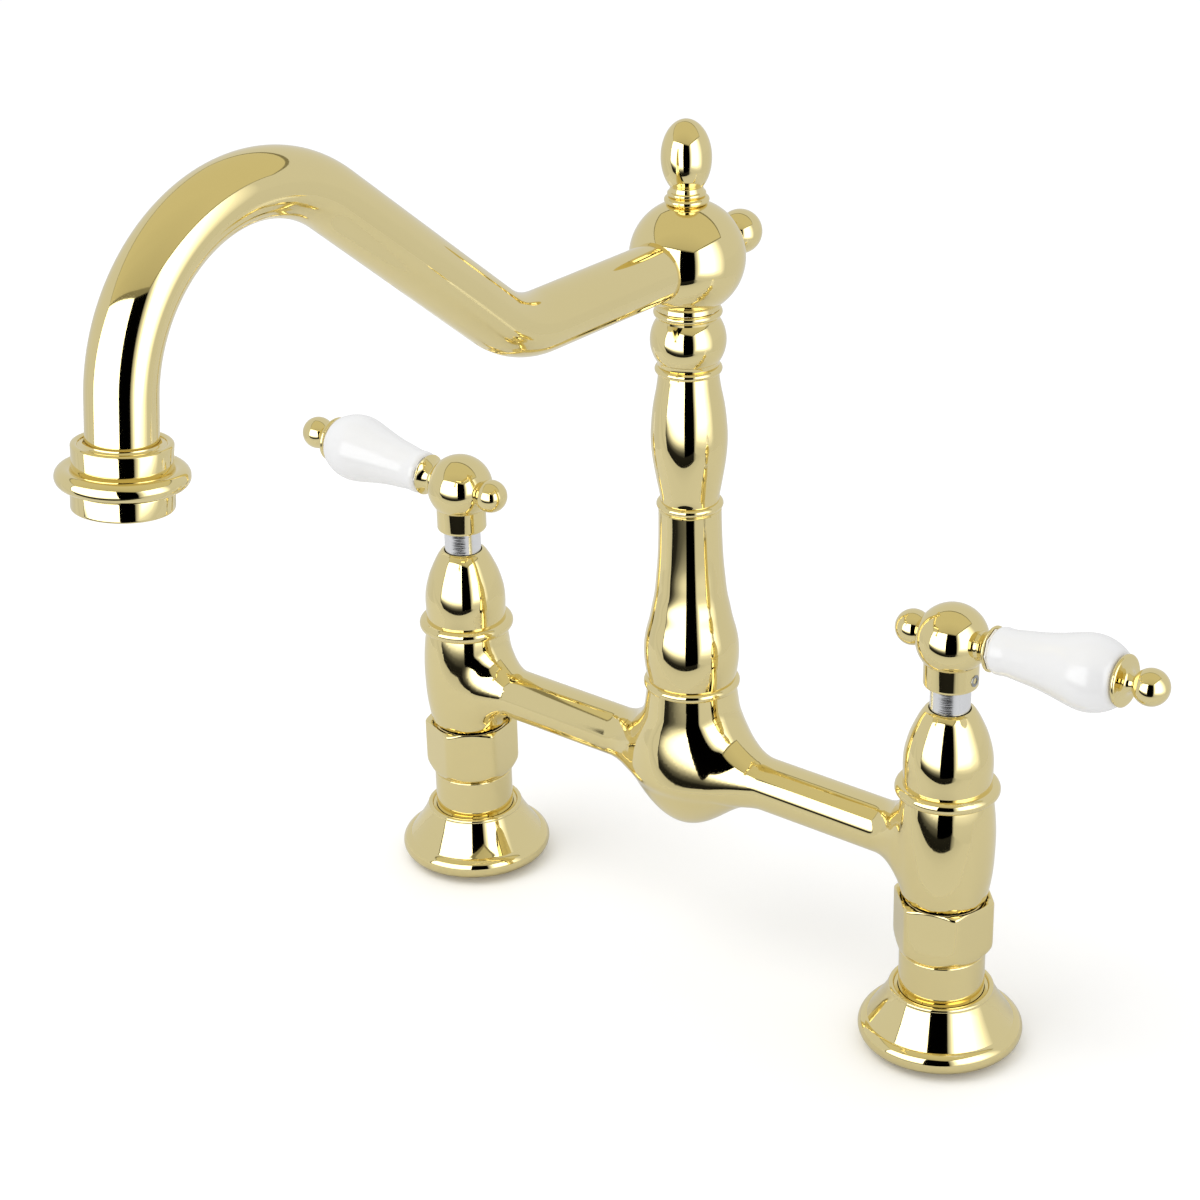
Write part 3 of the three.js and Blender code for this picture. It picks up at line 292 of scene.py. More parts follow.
def finish(name, shades, roughness, depth_mm, metal=0.0, waves=90.0, lines=900.0, share=0.2, run=ALONG,
           coat=0.0):
    made = bpy.data.materials.new(name)
    made.use_nodes = True
    tree = made.node_tree
    add, link = tree.nodes.new, tree.links.new
    shader = tree.nodes["Principled BSDF"]
    shader.inputs["Metallic"].default_value = metal
    shader.inputs["Coat Weight"].default_value = coat
    shader.inputs["Coat Roughness"].default_value = 0.03
    group = add("ShaderNodeGroup")
    group.node_tree = POLISH
    values = {"Wave Scale": waves, "Line Scale": lines, "Line Share": share, "Line Stretch": run}
    for key, value in values.items():
        group.inputs[key].default_value = value
    colour = add("ShaderNodeMix")
    colour.data_type = "RGBA"
    for key, shade in zip(("A", "B"), shades):
        next(s for s in colour.inputs if s.name == key and s.type == "RGBA").default_value = (*shade, 1)
    link(group.outputs["Haze"], colour.inputs["Factor"])
    link(next(s for s in colour.outputs if s.type == "RGBA"), shader.inputs["Base Color"])
    rough = add("ShaderNodeMapRange")
    rough.inputs["From Min"].default_value = 0.3
    rough.inputs["From Max"].default_value = 0.7
    rough.inputs["To Min"].default_value = roughness[0]
    rough.inputs["To Max"].default_value = roughness[1]
    link(group.outputs["Haze"], rough.inputs["Value"])
    link(rough.outputs["Result"], shader.inputs["Roughness"])
    bump = add("ShaderNodeBump")
    bump.inputs["Strength"].default_value = 1.0
    bump.inputs["Distance"].default_value = depth_mm * MM
    link(group.outputs["Height"], bump.inputs["Height"])
    link(bump.outputs["Normal"], shader.inputs["Normal"])
    return made


FINISHES = {
    "polished_brass": finish("polished_brass", ((0.885, 0.762, 0.39), (0.865, 0.738, 0.37)), (0.03, 0.06),
                             0.007, metal=1.0, share=0.05, coat=0.3),
    "plain_brass": finish("plain_brass", ((0.62, 0.46, 0.2), (0.5, 0.36, 0.15)), (0.3, 0.45),
                          0.05, metal=1.0, share=0.6),
    "bright_chrome": finish("bright_chrome", ((0.90, 0.91, 0.93), (0.84, 0.85, 0.87)), (0.14, 0.24),
                            0.06, metal=1.0, lines=1500.0, share=0.75, run=ROUND),
    "steel": finish("steel", ((0.42, 0.43, 0.44), (0.32, 0.33, 0.34)), (0.26, 0.38),
                    0.04, metal=1.0, share=0.6),
    "porcelain": finish("porcelain", ((0.81, 0.811, 0.813), (0.785, 0.786, 0.788)), (0.14, 0.2),
                        0.02, waves=60.0, share=0.1, coat=0.2),
    "ceramic": finish("ceramic", ((0.86, 0.83, 0.78), (0.8, 0.77, 0.72)), (0.25, 0.35), 0.02),
    "nylon": finish("nylon", ((0.86, 0.84, 0.78), (0.8, 0.78, 0.72)), (0.42, 0.55), 0.05),
    "rubber": finish("rubber", ((0.03, 0.03, 0.032), (0.02, 0.02, 0.022)), (0.7, 0.85), 0.08, waves=300.0),
}
print("finishes:", ", ".join(FINISHES))

# %% [markdown]
# ## The pieces inside
#
# Seals, discs, stems and the parts under the worktop keep their own solids, because their shapes are simple
# and already right. They only need their finish, which the record names for every node.

# %% Finish of every node
NODE_CRISP_ANGLE = math.radians(40)  # their round walls have fewer, larger facets
slot_of = {part["node"]: part["material_slot"] for part in frame["record"]["subparts"]}
for name, node in frame["nodes"].items():
    for place in node.material_slots:
        place.material = FINISHES[slot_of[name]]
    node.data.shade_smooth()
    node.data.set_sharp_from_angle(angle=NODE_CRISP_ANGLE)
print("finished nodes:", len(slot_of))

# %% [markdown]
# ## The bridge casting
#
# The heart of the faucet is one casting: two egg-shaped barrels, the pipe between them and the hub that
# carries the column, all flowing into each other. Coves like these are hard to build face by face. It is
# simpler to write down how far any point in space is from each body, and to join those distances with a
# rule that rounds the corner between them. A net of quads is then laid over the place where the joined
# distance is zero, and every point of it is pulled exactly onto that surface.

# %% Distances
BRIDGE_Z, PIPE_R, PIPE_END = 71.4, 8.85, 88.0
BARREL_FOOT, BARREL_HEAD = 55.3, 92.9
NECK_R, NECK_TOP, NECK_FLARE = 14.65, 101.8, 0.13
BELL_Z, BELL_R, BELL_STRETCH = 71.3, 17.2, 1.37
HUB_COVE, PIPE_COVE, BARREL_COVE = 4.5, 14.3, 9.0  # radii of the coves between the bodies
EDGE_ROUND, FOOT_ROUND = 0.3, 0.6
LEG_START, LEG_BLEND = 50, 10  # from the middle outwards, where the hub's half hands over to the barrels'
BARREL_OUTLINE = np.array(smooth([
    [13.2, 50], [13.9, 55.3], [14.7, 60], [15.4, 65.5], [15.7, 71], [15.8, 76], [15.5, 83], [14.95, 88],
    [14.17, 92.2], [13.2, 96],
], 12))


def round_join(a, b, radius):
    """The distance to two bodies joined, with a cove of this radius between them."""
    corner = np.hypot(np.maximum(radius - a, 0), np.maximum(radius - b, 0))
    return np.maximum(radius, np.minimum(a, b)) - corner


def round_cut(a, b, radius):
    """The distance to what two bodies share, with its edge rounded."""
    return -round_join(-a, -b, radius)


def casting(p):
    x, y, z = np.abs(p[:, 0]), p[:, 1], p[:, 2]
    barrel = np.hypot(x - INLET_X, y) - np.interp(z, BARREL_OUTLINE[:, 1], BARREL_OUTLINE[:, 0])
    around, beyond = np.hypot(y, z - BRIDGE_Z) - PIPE_R, x - PIPE_END
    pipe = np.hypot(np.maximum(around, 0), np.maximum(beyond, 0)) + np.minimum(np.maximum(around, beyond), 0)
    across = np.hypot(x, y)
    neck = round_cut(across - NECK_R - NECK_FLARE * (NECK_TOP - z), BRIDGE_Z - 4 - z, 2)
    bell = np.hypot(across, (z - BELL_Z) / BELL_STRETCH) - BELL_R
    hub = round_join(neck, bell, HUB_COVE)
    body = round_cut(round_join(hub, pipe, PIPE_COVE), z - NECK_TOP, EDGE_ROUND)
    legs = round_cut(round_join(barrel, pipe, BARREL_COVE), BARREL_FOOT - z, FOOT_ROUND)
    legs = round_cut(legs, z - BARREL_HEAD, EDGE_ROUND)
    reach = np.clip((x - LEG_START) / LEG_BLEND, 0, 1)
    return (1 - reach) * body + reach * legs


axis_depth = -float(casting(np.array([[60.0, 0, BRIDGE_Z]]))[0])
print("the bridge's axis runs", round(axis_depth, 2), "mm inside the pipe")

# %% [markdown]
# The net starts as a grid of small cells. A cell that holds some corners inside the body and some outside
# gets one point, and four cells round a crossed grid edge give one face. The points start in the middle of
# their cells, so the net is stepped like stacked sugar at first, and pulling them along the slope of the
# distance makes it smooth. Cells of 0.9 mm are small enough for coves that mirror cleanly.

# %% A net over the zero distance
def pulled(points, distance, rounds=6):
    """Points moved along the slope of a distance until it is zero."""
    for _ in range(rounds):
        d = distance(points)
        slope = np.stack([
            (distance(points + step) - distance(points - step)) / 0.02 for step in np.eye(3) * 0.01
        ], axis=1)
        size = np.maximum((slope ** 2).sum(1), 0.05)
        points = points - np.clip(d / size, -1, 1)[:, None] * slope
    return points


def net(distance, low, high, step):
    """Quads on the zero level of a distance: one point in each grid cell that the surface crosses."""
    axes = [np.arange(a, b + step, step) for a, b in zip(low, high)]
    grid = np.stack(np.meshgrid(*axes, indexing="ij"), -1)
    shape = grid.shape[:3]
    inside = distance(grid.reshape(-1, 3)).reshape(shape) < 0
    count = sum(
        inside[i:shape[0] - 1 + i, j:shape[1] - 1 + j, k:shape[2] - 1 + k].astype(int)
        for i in (0, 1) for j in (0, 1) for k in (0, 1)
    )
    cells = np.argwhere((count > 0) & (count < 8))
    index = np.full(count.shape, -1)
    index[tuple(cells.T)] = np.arange(len(cells))
    faces = []
    for axis in range(3):
        one, two = [a for a in range(3) if a != axis]
        crossed = np.argwhere(inside != np.roll(inside, -1, axis))
        crossed = crossed[crossed[:, axis] < shape[axis] - 1]
        around = []
        for a, b in ((-1, -1), (0, -1), (0, 0), (-1, 0)):
            cell = crossed.copy()
            cell[:, one] += a
            cell[:, two] += b
            around.append(index[tuple(cell.T)])
        quads = np.stack(around, 1)
        backward = inside[tuple(crossed.T)] != (axis != 1)
        quads[backward] = quads[backward][:, ::-1]
        faces.extend(map(tuple, quads.tolist()))
    centres = np.array(low) + (cells + 0.5) * step
    return pulled(centres, distance), faces


NET_LOW, NET_HIGH, NET_CELL = (-119, -24, 45), (119, 24, 102), 0.9
make("bridge_casting_skin", net(casting, NET_LOW, NET_HIGH, NET_CELL),
     "faucet_body", "polished_brass", "bridge_casting")

# %% [markdown]
# ## The column
#
# The column is a baluster: bulb, shaft, vase and knop with small beads between them. Its reflections run
# down the whole length, so each swelling is one smooth curve and only the beads meet it in a crease, as the
# turning tool leaves it.

# %% Column
def column_outline():
    foot = [[5.5, 91.1], [9.6, 91.1], [9.6, 102.1], [15.05, 102.1], [15.15, 99.7]]
    bulb = smooth([
        [14.75, 102.7], [15.35, 106], [15.85, 111], [15.7, 115.5], [14.9, 120], [13.85, 124], [12.95, 128.5],
        [12.15, 132.5], [11.5, 138], [10.95, 144], [10.6, 150], [10.4, 156.5], [10.3, 163.2],
    ])
    vase = smooth([
        [9.75, 168.6], [10.75, 174], [11.6, 179], [12.25, 184.5], [12.42, 189], [12.1, 194.5], [11.35, 200.5],
        [10.3, 206], [9.8, 210],
    ])
    knop = arc((0, 221.6), (12.2, 12.2), -35.5, 35.5, 20)
    return (
        foot + bead(16.1, 101.0, 1.6, -63) + bulb + bead(10.95, 165.3, 1.35) + [[9.7, 167.4]] + vase
        + bead(10.85, 211.9, 1.3) + [[9.95, 213.6]] + knop + [[9.95, 229.4]] + bead(11.0, 230.9, 1.3)
        + [[8.0, 232.1], [8.0, 260.6], [4.2, 260.6], [4.2, 275.0], [0, 275.0], [0, 251.1], [5.5, 251.1]]
    )


make("column_skin", turned(column_outline(), 160), "faucet_body", "polished_brass", "column")


# %% [markdown]
# The finial is an acorn nut. It stands on a bead and a small ring, right on the crown of the hub.

# %% Finial
FINIAL_FOOT = 266.7


def finial_outline():
    acorn = arc((0, 280.8), (7.95, 12.0), -50.5, 90, 40)
    return (
        [[0, 275.3], [4.5, 275.3], [4.5, FINIAL_FOOT], [6.1, FINIAL_FOOT - 0.45]]
        + bead(7.1, 267.45, 1.15) + bead(6.1, 269.5, 0.9, -70, 70, 8) + acorn
    )


make("finial_skin", turned(finial_outline()), "faucet_body", "polished_brass", "finial")


# %% [markdown]
# ## The spout
#
# The hub is a ball that turns on the column. A thin lip round its foot hides the washer under it, and the
# ball knob behind it balances the picture.

# %% Spout hub and rear knob
HUB_Z, HUB_R = 248.9, 18.35


def hub_outline():
    foot = math.degrees(math.asin((HUB_Z - 233.7) / HUB_R))
    crown = math.degrees(math.asin((266.1 - HUB_Z) / HUB_R))
    return (
        [[8.35, 233.2], [10.28, 233.2], [10.28, 232.4], [10.42, 232.4]]
        + arc((0, HUB_Z), (HUB_R, HUB_R), -foot, crown, 60)
        + [[4.55, 266.1], [4.55, 260.9], [8.35, 260.9]]
    )


make("spout_hub_skin", turned(hub_outline(), 160), "spout", "polished_brass", "spout_hub")

KNOB_REACH, KNOB_R, KNOB_NECK_R = 27.4, 7.15, 3.6


def rear_knob_outline():
    neck = math.degrees(math.acos(KNOB_NECK_R / KNOB_R))
    return [[0, 12.3], [KNOB_NECK_R, 12.3]] + arc((0, KNOB_REACH), (KNOB_R, KNOB_R), -neck, 90, 30)


backwards = Matrix.Translation((0, 0, HUB_Z + 1)) @ Matrix.Rotation(math.radians(-90), 4, "X")
make("rear_knob_skin", moved(turned(rear_knob_outline()), backwards), "spout", "polished_brass", "rear_knob")

# %% [markdown]
# The spout itself is a bent tube. It is a ring of points carried along a path of straight runs and true
# arcs, since a tube bender makes nothing else. A second, smaller ring carried back inside it gives the tube
# its wall.

# %% Spout tube
TUBE_R, TUBE_BORE = 9.53, 8.3
SPOUT_Z, TUBE_START = 247.9, 11.7
LEVEL_END, RISE_R, RISE_ANGLE, RISE_RUN = 70.0, 34.8, 39.2, 79.9
CROWN_R, LEG_ANGLE, LEG_RUN = 48.0, -84.0, 16.7


def spout_path():
    """Middle of the tube as rows of reach, height and heading in radians."""
    rows = [[TUBE_START, SPOUT_Z, 0.0]]

    def run(length, steps):
        reach, z, heading = rows[-1]
        for t in np.linspace(0, length, steps + 1)[1:]:
            rows.append([reach + t * math.cos(heading), z + t * math.sin(heading), heading])

    def bend(radius, to, steps):
        reach, z, start = rows[-1]
        turn = radius if to > start else -radius
        for heading in np.linspace(start, to, steps + 1)[1:]:
            rows.append([
                reach + turn * (math.sin(heading) - math.sin(start)),
                z - turn * (math.cos(heading) - math.cos(start)),
                heading,
            ])

    run(LEVEL_END - TUBE_START, 6)
    bend(RISE_R, math.radians(RISE_ANGLE), 20)
    run(RISE_RUN, 6)
    bend(CROWN_R, math.radians(LEG_ANGLE), 56)
    run(LEG_RUN, 4)
    return rows


def sweep(rows, radius, sides=72):
    """A closed ring of points carried along the path, with the spout's reach along -Y."""
    turn = 2 * math.pi * np.arange(sides) / sides
    rings = []
    for reach, z, heading in rows:
        side, rise = radius * np.cos(turn), radius * np.sin(turn)
        rings.append(np.stack([side, -reach + rise * math.sin(heading), z + rise * math.cos(heading)], 1))
    return rings


def spout_shape():
    rows = spout_path()
    rings = sweep(rows, TUBE_R) + sweep(rows, TUBE_BORE)[::-1]
    sides = len(rings[0])
    faces = []
    for s in range(len(rings)):
        a, b = s * sides, ((s + 1) % len(rings)) * sides
        for k in range(sides):
            n = (k + 1) % sides
            faces.append((a + k, a + n, b + n, b + k))
    return np.vstack(rings), faces


make("spout_tube_skin", spout_shape(), "spout", "polished_brass", "spout_tube")

# %% [markdown]
# The outlet is a collar with a heavy ring, and the aerator's housing screwed into it from below. Both are
# turned about the end of the tube, so they are drawn round Z and then laid along the tube's last heading.

# %% Outlet
OUTLET_DROP = 20.6  # from the end of the last bend to the middle of the ring


def outlet_matrix():
    reach, z, heading = spout_path()[-5]
    reach += OUTLET_DROP * math.cos(heading)
    z += OUTLET_DROP * math.sin(heading)
    return Matrix.Translation((0, -reach, z)) @ Matrix.Rotation(-(math.pi / 2 + heading), 4, "X")


def collar_outline():
    return (
        arc((10.6, 9.3), (1.0, 1.0), 170, 250, 6) + [[11.0, 8.35], [11.5, 8.4]]
        + arc((12.2, 8.25), (0.95, 0.75), 150, 0, 12) + arc((14.8, 0), (2.6, 2.6), 137, -137, 30)
        + [[13.2, -2.9], [12.0, -2.9], [12.0, 3.1], [9.6, 3.1]]
    )


def aerator_outline():
    return (
        [[10.2, 2.2], [11.7, 2.2], [11.7, -3.2]]
        + eased([[13.4, -3.2, 0.5], [13.4, -8.7, 0.8], [10.6, -8.7, 0.8]])
        + [[9.3, -8.0], [10.2, -8.0]]
    )


OUTLET = outlet_matrix()
for part, outline in (("outlet_collar", collar_outline()), ("aerator_housing", aerator_outline())):
    make(f"{part}_skin", moved(turned(outline), OUTLET), "spout", "polished_brass", part)

# %% [markdown]
# ## The legs
#
# Each leg is the same stack: a flared escutcheon on the worktop, a plain tube, a hexagonal union nut, then
# the barrel of the casting and the bonnet above it. The nut is the only one of them that isn't round. Its
# corners are turned off at both ends by a cone, which draws the curved lines seen on every real nut. So
# each point of it takes the smaller of two radii, that of the hexagon at its angle and that of the cone at
# its height. A sum of exponentials blends the radii, so that every corner comes out softly rounded, as
# polishing leaves it.

# %% Leg outlines
def escutcheon_outline():
    """A rolled rim, a nearly straight cone that meets it in a crease, and a rounded lip round the tube."""
    rim = arc((23.05, 5.7), (3.8, 3.8), -100, 77, 26)
    cone = [[23.84, 9.4], [23.74, 9.53]] + smooth([
        [23.66, 9.64], [22.9, 10.65], [21.3, 12.9], [19.75, 15.3], [18.3, 17.85], [17.15, 20.3],
    ])
    lip = arc((16.15, 20.5), (1.0, 0.95), 0, 125, 8)
    return (
        [[19.5, 0.02], [20.6, 0.02], [20.6, 2.1], [22.3, 2.0]] + rim + cone + lip
        + [[15.2, 20.6], [14.15, 20.35], [14.15, 17.4], [15.6, 15.4], [18.0, 9.0], [19.0, 5.0]]
    )


def tailpiece_outline():
    return (
        [[6.0, -48], [9.6, -48], [10.4, -47.2], [10.4, 2.5], [13.95, 2.5], [13.95, 34.1], [13.95, 34.35]]
        + arc((13.3, 34.35), (0.65, 0.6), 10, 90, 6)
        + [[9.6, 34.95], [9.6, 39.2], [11.6, 39.2], [11.6, 41.0], [6, 41.0]]
    )


def bonnet_outline():
    dome = smooth([
        [14.1, 96.0], [14.13, 98.6], [14.2, 101], [14.15, 104.5], [13.75, 107.5], [13.15, 110], [12.4, 112.5],
        [11.4, 115], [10.25, 117.5], [8.9, 120], [7.9, 121.4],
    ])
    return (
        [[12.8, 93.2], [14.65, 93.2], [14.7, 91.85]] + bead(16.7, 93.85, 2.2, -78) + dome
        + [[6.75, 121.8], [6.75, 120.2], [9.1, 107.0], [12.8, 107.0]]
    )


NUT_FLATS, NUT_SOFTNESS = 29.3, 0.6


def nut_shape(sides=240):
    low, high, ease = 35.3, 55.0, 0.4
    turn = 2 * math.pi * np.arange(sides) / sides
    gather = np.zeros(sides)
    for side in range(6):
        away = np.cos(turn - side * math.pi / 3)
        gather += np.where(away > 0.3, np.exp(-NUT_FLATS / 2 / np.maximum(away, 0.3) / NUT_SOFTNESS), 0)
    hexagon = -NUT_SOFTNESS * np.log(gather)
    heights = [low, low + 0.2, low + 0.6, low + 1.2, low + 2, low + 3, low + 4.5, 45]
    heights += [high - drop for drop in (5, 3.2, 2.4, 1.8, 1.3, 0.9, 0.5, 0.2, 0)]
    rings = []
    for z in heights:
        turned_off = min(13.9 + 1.15 * (z - low) ** 0.8, 15.3 + 2.4 * (high - z))
        radius = -ease * np.log(np.exp(-hexagon / ease) + np.exp(-turned_off / ease)) + 0.1
        rings.append(np.stack([radius * np.cos(turn), radius * np.sin(turn), np.full(sides, z)], 1))
    bore = [(9.95, low), (9.95, low + 3.6), (11.9, low + 3.6), (11.9, high - 1.2), (13.4, high - 0.3)]
    for r, z in reversed(bore):
        rings.append(np.stack([r * np.cos(turn), r * np.sin(turn), np.full(sides, z)], 1))
    faces = []
    for s in range(len(rings)):
        a, b = s * sides, ((s + 1) % len(rings)) * sides
        faces.extend((a + k, a + (k + 1) % sides, b + (k + 1) % sides, b + k) for k in range(sides))
    return np.vstack(rings), faces


print("escutcheon:", round(2 * max(r for r, z in escutcheon_outline()), 1), "mm across its rim")

# %% [markdown]
# Both legs are the same, so one function builds a leg on either side. Only the nuts differ: each stands at
# the angle at which it happened to be tight.

# %% Legs
NUT_TWIST = {"hot": 10.0, "cold": -13.5}  # degrees


def leg(side, name):
    place = Matrix.Translation((side * INLET_X, 0, 0))
    twist = place @ Matrix.Rotation(math.radians(NUT_TWIST[name]), 4, "Z")
    for part, shape, matrix in (
        ("escutcheon", turned(escutcheon_outline()), place),
        ("tailpiece", turned(tailpiece_outline()), place),
        ("union_nut", nut_shape(), twist),
        ("bonnet", turned(bonnet_outline()), place),
    ):
        make(f"{name}_{part}_skin", moved(shape, matrix), "faucet_body", "polished_brass", f"{name}_{part}")


for side, name in ((-1, "hot"), (1, "cold")):
    leg(side, name)

# %% [markdown]
# ## The levers
#
# A lever is a ball with a skirt that drops over the bright sleeve, a small ball behind it, and an arm of
# brass, porcelain and brass strung on a hidden rod. The porcelain swells towards its outer end. The arm is
# drawn round Z, laid along X and tilted up by a few degrees. The other lever is the same thing turned half
# round.

# %% Lever outlines
LEVER_Z, LEVER_TILT = 145.5, 3.5
BALL_R, TAIL_R, TAIL_REACH = 11.5, 5.75, 14.3
SKIRT_R = 8.66
END_BALL_R, END_NECK_R = 5.75, 2.6


def lever_ball_outline():
    crease = math.degrees(math.acos(SKIRT_R / BALL_R))
    return (
        [[6.7, -15.5], [7.9, -15.5], [8.4, -15.3], [SKIRT_R, -14.8], [SKIRT_R, -14.5]]
        + arc((0, 0), (BALL_R, BALL_R), -crease, 90, 44) + [[0, -3.0], [6.7, -3.0]]
    )


def ferrule_outline():
    return [[1.9, 9.0], [4.8, 9.0]] + smooth([
        [4.85, 10.6], [4.8, 11.6], [5.2, 12.8], [6.1, 13.9], [6.9, 14.6],
    ]) + arc((6.75, 14.95), (0.55, 0.35), -20, 90, 5) + [[1.9, 15.3]]


def grip_outline():
    return [[2.3, 16.3]] + smooth([
        [6.6, 16.3], [7.15, 16.9], [7.4, 20], [7.8, 25], [8.4, 30], [9.25, 35], [10.35, 40], [11.4, 44.5],
        [11.93, 48.3], [11.6, 51.8], [10.6, 54.9], [9.5, 57.0], [8.4, 58.3], [7.6, 58.8],
    ]) + [[2.3, 58.8]]


def end_knob_outline():
    neck = math.degrees(math.acos(END_NECK_R / END_BALL_R))
    return (
        [[1.9, 59.3]] + arc((7.4, 60.1), (0.75, 0.75), -90, 90, 10) + smooth([
            [6.4, 60.9], [4.6, 61.1], [3.3, 61.8], [2.7, 62.7],
        ]) + arc((0, 68.8), (END_BALL_R, END_BALL_R), -neck, 90, 28) + [[0, 64.6], [1.9, 64.6]]
    )


def sleeve_outline():
    rim = eased([[6.4, 107.0, 0], [6.4, 142.2, 0.3], [0, 142.2, 0]])[1:]
    return [[4.2, 107.0], [6.4, 107.0], [6.4, 141.6]] + rim + [[0, 123.3], [4.2, 123.3]]


print("grip:", round(2 * max(r for r, z in grip_outline()), 1), "mm across its swell")

# %% [markdown]
# The arm, the sleeve and the balls are put together in one function, again for both sides. The sleeve
# belongs to the lever, because it turns with it.

# %% Levers
def lever(side, name):
    body = f"{name}_lever"
    place = Matrix.Translation((side * INLET_X, 0, LEVER_Z))
    if side < 0:
        place = place @ Matrix.Rotation(math.pi, 4, "Z")
    arm = place @ Matrix.Rotation(math.radians(90 - LEVER_TILT), 4, "Y")
    tail_ball = turned(arc((0, 0), (TAIL_R, TAIL_R), -90, 90, 36), 96)
    tail = moved(tail_ball, Matrix.Translation((-TAIL_REACH, 0, 0)))
    hub = joined(turned(lever_ball_outline()), tail)
    make(f"{name}_lever_hub_skin", moved(hub, place), body, "polished_brass", f"{name}_lever_hub")
    for part, slot, outline in (
        ("ferrule", "polished_brass", ferrule_outline()),
        ("porcelain_grip", "porcelain", grip_outline()),
        ("end_knob", "polished_brass", end_knob_outline()),
    ):
        make(f"{name}_{part}_skin", moved(turned(outline), arm), body, slot, f"{name}_{part}")
    leg_axis = Matrix.Translation((side * INLET_X, 0, 0))
    make(f"{name}_stem_sleeve_skin", moved(turned(sleeve_outline()), leg_axis), body, "bright_chrome",
         f"{name}_stem_sleeve")


for side, name in ((-1, "hot"), (1, "cold")):
    lever(side, name)

# %% [markdown]
# ## The studio
#
# Polished metal is photographed in a white tent, and it shows the whole tent: two bright walls in front
# with the dark gap for the lens between them, the dim roof, the pale table, and the dark space beyond the
# table's edge. What a curve shows depends on how near these stand, so they are boards, placed where the
# reflections in the photograph put them, and seen only by reflections. The world around them gives even,
# soft light. The camera sees it as plain white. Reflections see it dimmer, because the metal in the
# photograph doesn't mirror the white background either.

# %% World
DAYLIGHT, IN_METAL = 0.93, 0.7  # what lights the faucet, and what its metal mirrors where no board stands


def studio_world():
    world = bpy.data.worlds.new("studio")
    bpy.context.scene.world = world
    world.use_nodes = True
    tree = world.node_tree
    add, link = tree.nodes.new, tree.links.new
    shader = tree.nodes["Background"]
    shader.inputs["Color"].default_value = (1, 1, 1, 1)
    rays = add("ShaderNodeLightPath")
    around = add("ShaderNodeMix")
    around.inputs["A"].default_value = DAYLIGHT
    around.inputs["B"].default_value = IN_METAL
    link(rays.outputs["Is Glossy Ray"], around.inputs["Factor"])
    seen = add("ShaderNodeMix")
    seen.inputs["B"].default_value = 1.0
    link(rays.outputs["Is Camera Ray"], seen.inputs["Factor"])
    link(around.outputs["Result"], seen.inputs["A"])
    link(seen.outputs["Result"], shader.inputs["Strength"])


studio_world()
print("world:", DAYLIGHT, "on the faucet,", IN_METAL, "in its metal, 1 for the camera")

# %% [markdown]
# The faucet stands on a plain pale floor. In the reflections the studio's table lies a hand's breadth
# lower, so the metal sees this floor only close to the faucet, and beyond that a lower table of the same
# tone. That tone is painted shade: reflections see the floor darker than its own pale colour, as a table
# that gets less light. The camera sees the floor a touch lighter, so that it ends in white and still keeps
# the faucet's shadow.

# %% Floor
# the floor's grey in metal is painted shade: reflections see it darker than the floor's own tone
FLOOR_TONE, FLOOR_SHADED_IN_METAL, FLOOR_LIFT = 0.97, 0.66, 0.06


def floor_material():
    made = bpy.data.materials.new("pale_floor")
    made.use_nodes = True
    tree = made.node_tree
    add, link = tree.nodes.new, tree.links.new
    shader = tree.nodes["Principled BSDF"]
    shader.inputs["Roughness"].default_value = 0.9
    shader.inputs["Specular IOR Level"].default_value = 0.0
    rays, tone = add("ShaderNodeLightPath"), add("ShaderNodeMix")
    tone.data_type = "RGBA"
    # the second grey, which only reflections see, is painted shade
    for key, grey in (("A", FLOOR_TONE), ("B", FLOOR_SHADED_IN_METAL)):
        shade = next(s for s in tone.inputs if s.name == key and s.type == "RGBA")
        shade.default_value = (grey, grey, grey, 1)
    link(rays.outputs["Is Glossy Ray"], tone.inputs["Factor"])
    link(next(s for s in tone.outputs if s.type == "RGBA"), shader.inputs["Base Color"])
    shader.inputs["Emission Color"].default_value = (1, 1, 1, 1)
    lift = add("ShaderNodeMix")
    lift.inputs["A"].default_value = 0.0
    lift.inputs["B"].default_value = FLOOR_LIFT
    link(rays.outputs["Is Camera Ray"], lift.inputs["Factor"])
    link(lift.outputs["Result"], shader.inputs["Emission Strength"])
    return made


def board(name, rows, material):
    """A board given as rows of corners in millimetres."""
    columns = len(rows[0])
    points = [tuple(v * MM for v in corner[:3]) for row in rows for corner in row]
    faces = [
        (r * columns + c, r * columns + c + 1, (r + 1) * columns + c + 1, (r + 1) * columns + c)
        for r in range(len(rows) - 1) for c in range(columns - 1)
    ]
    mesh = bpy.data.meshes.new(name)
    mesh.from_pydata(points, [], faces)
    mesh.materials.append(material)
    made = bpy.data.objects.new(name, mesh)
    bpy.context.scene.collection.objects.link(made)
    return made


FLOOR = floor_material()
OUT = Vector((0.349, -0.937, 0))  # square to the table's front edge
SIDEWAYS = Vector((0.937, 0.349, 0))


def on_table(out, sideways, z, *level):
    """A place given by its distance towards the front edge and along it."""
    spot = OUT * out + SIDEWAYS * sideways
    return spot.x, spot.y, z, *level


board("floor_near", [[on_table(o, s, 0) for s in (-420, 420)] for o in (110, -300)], FLOOR)
FAR = 30000
far_floor = board("floor", [[(x, y, -0.05) for x in (-FAR, FAR)] for y in (-FAR, FAR)], FLOOR)
far_floor.visible_glossy = False
print("floor:", 2 * FAR * MM, "m across")

# %% [markdown]
# Each corner of a tent board carries its own brightness as a fourth number, stored on the mesh as an
# attribute. One material reads it, so a board can fade from dark to light as cloth does. The roof's cloth
# is warmer than the walls, so the material takes a colour too.

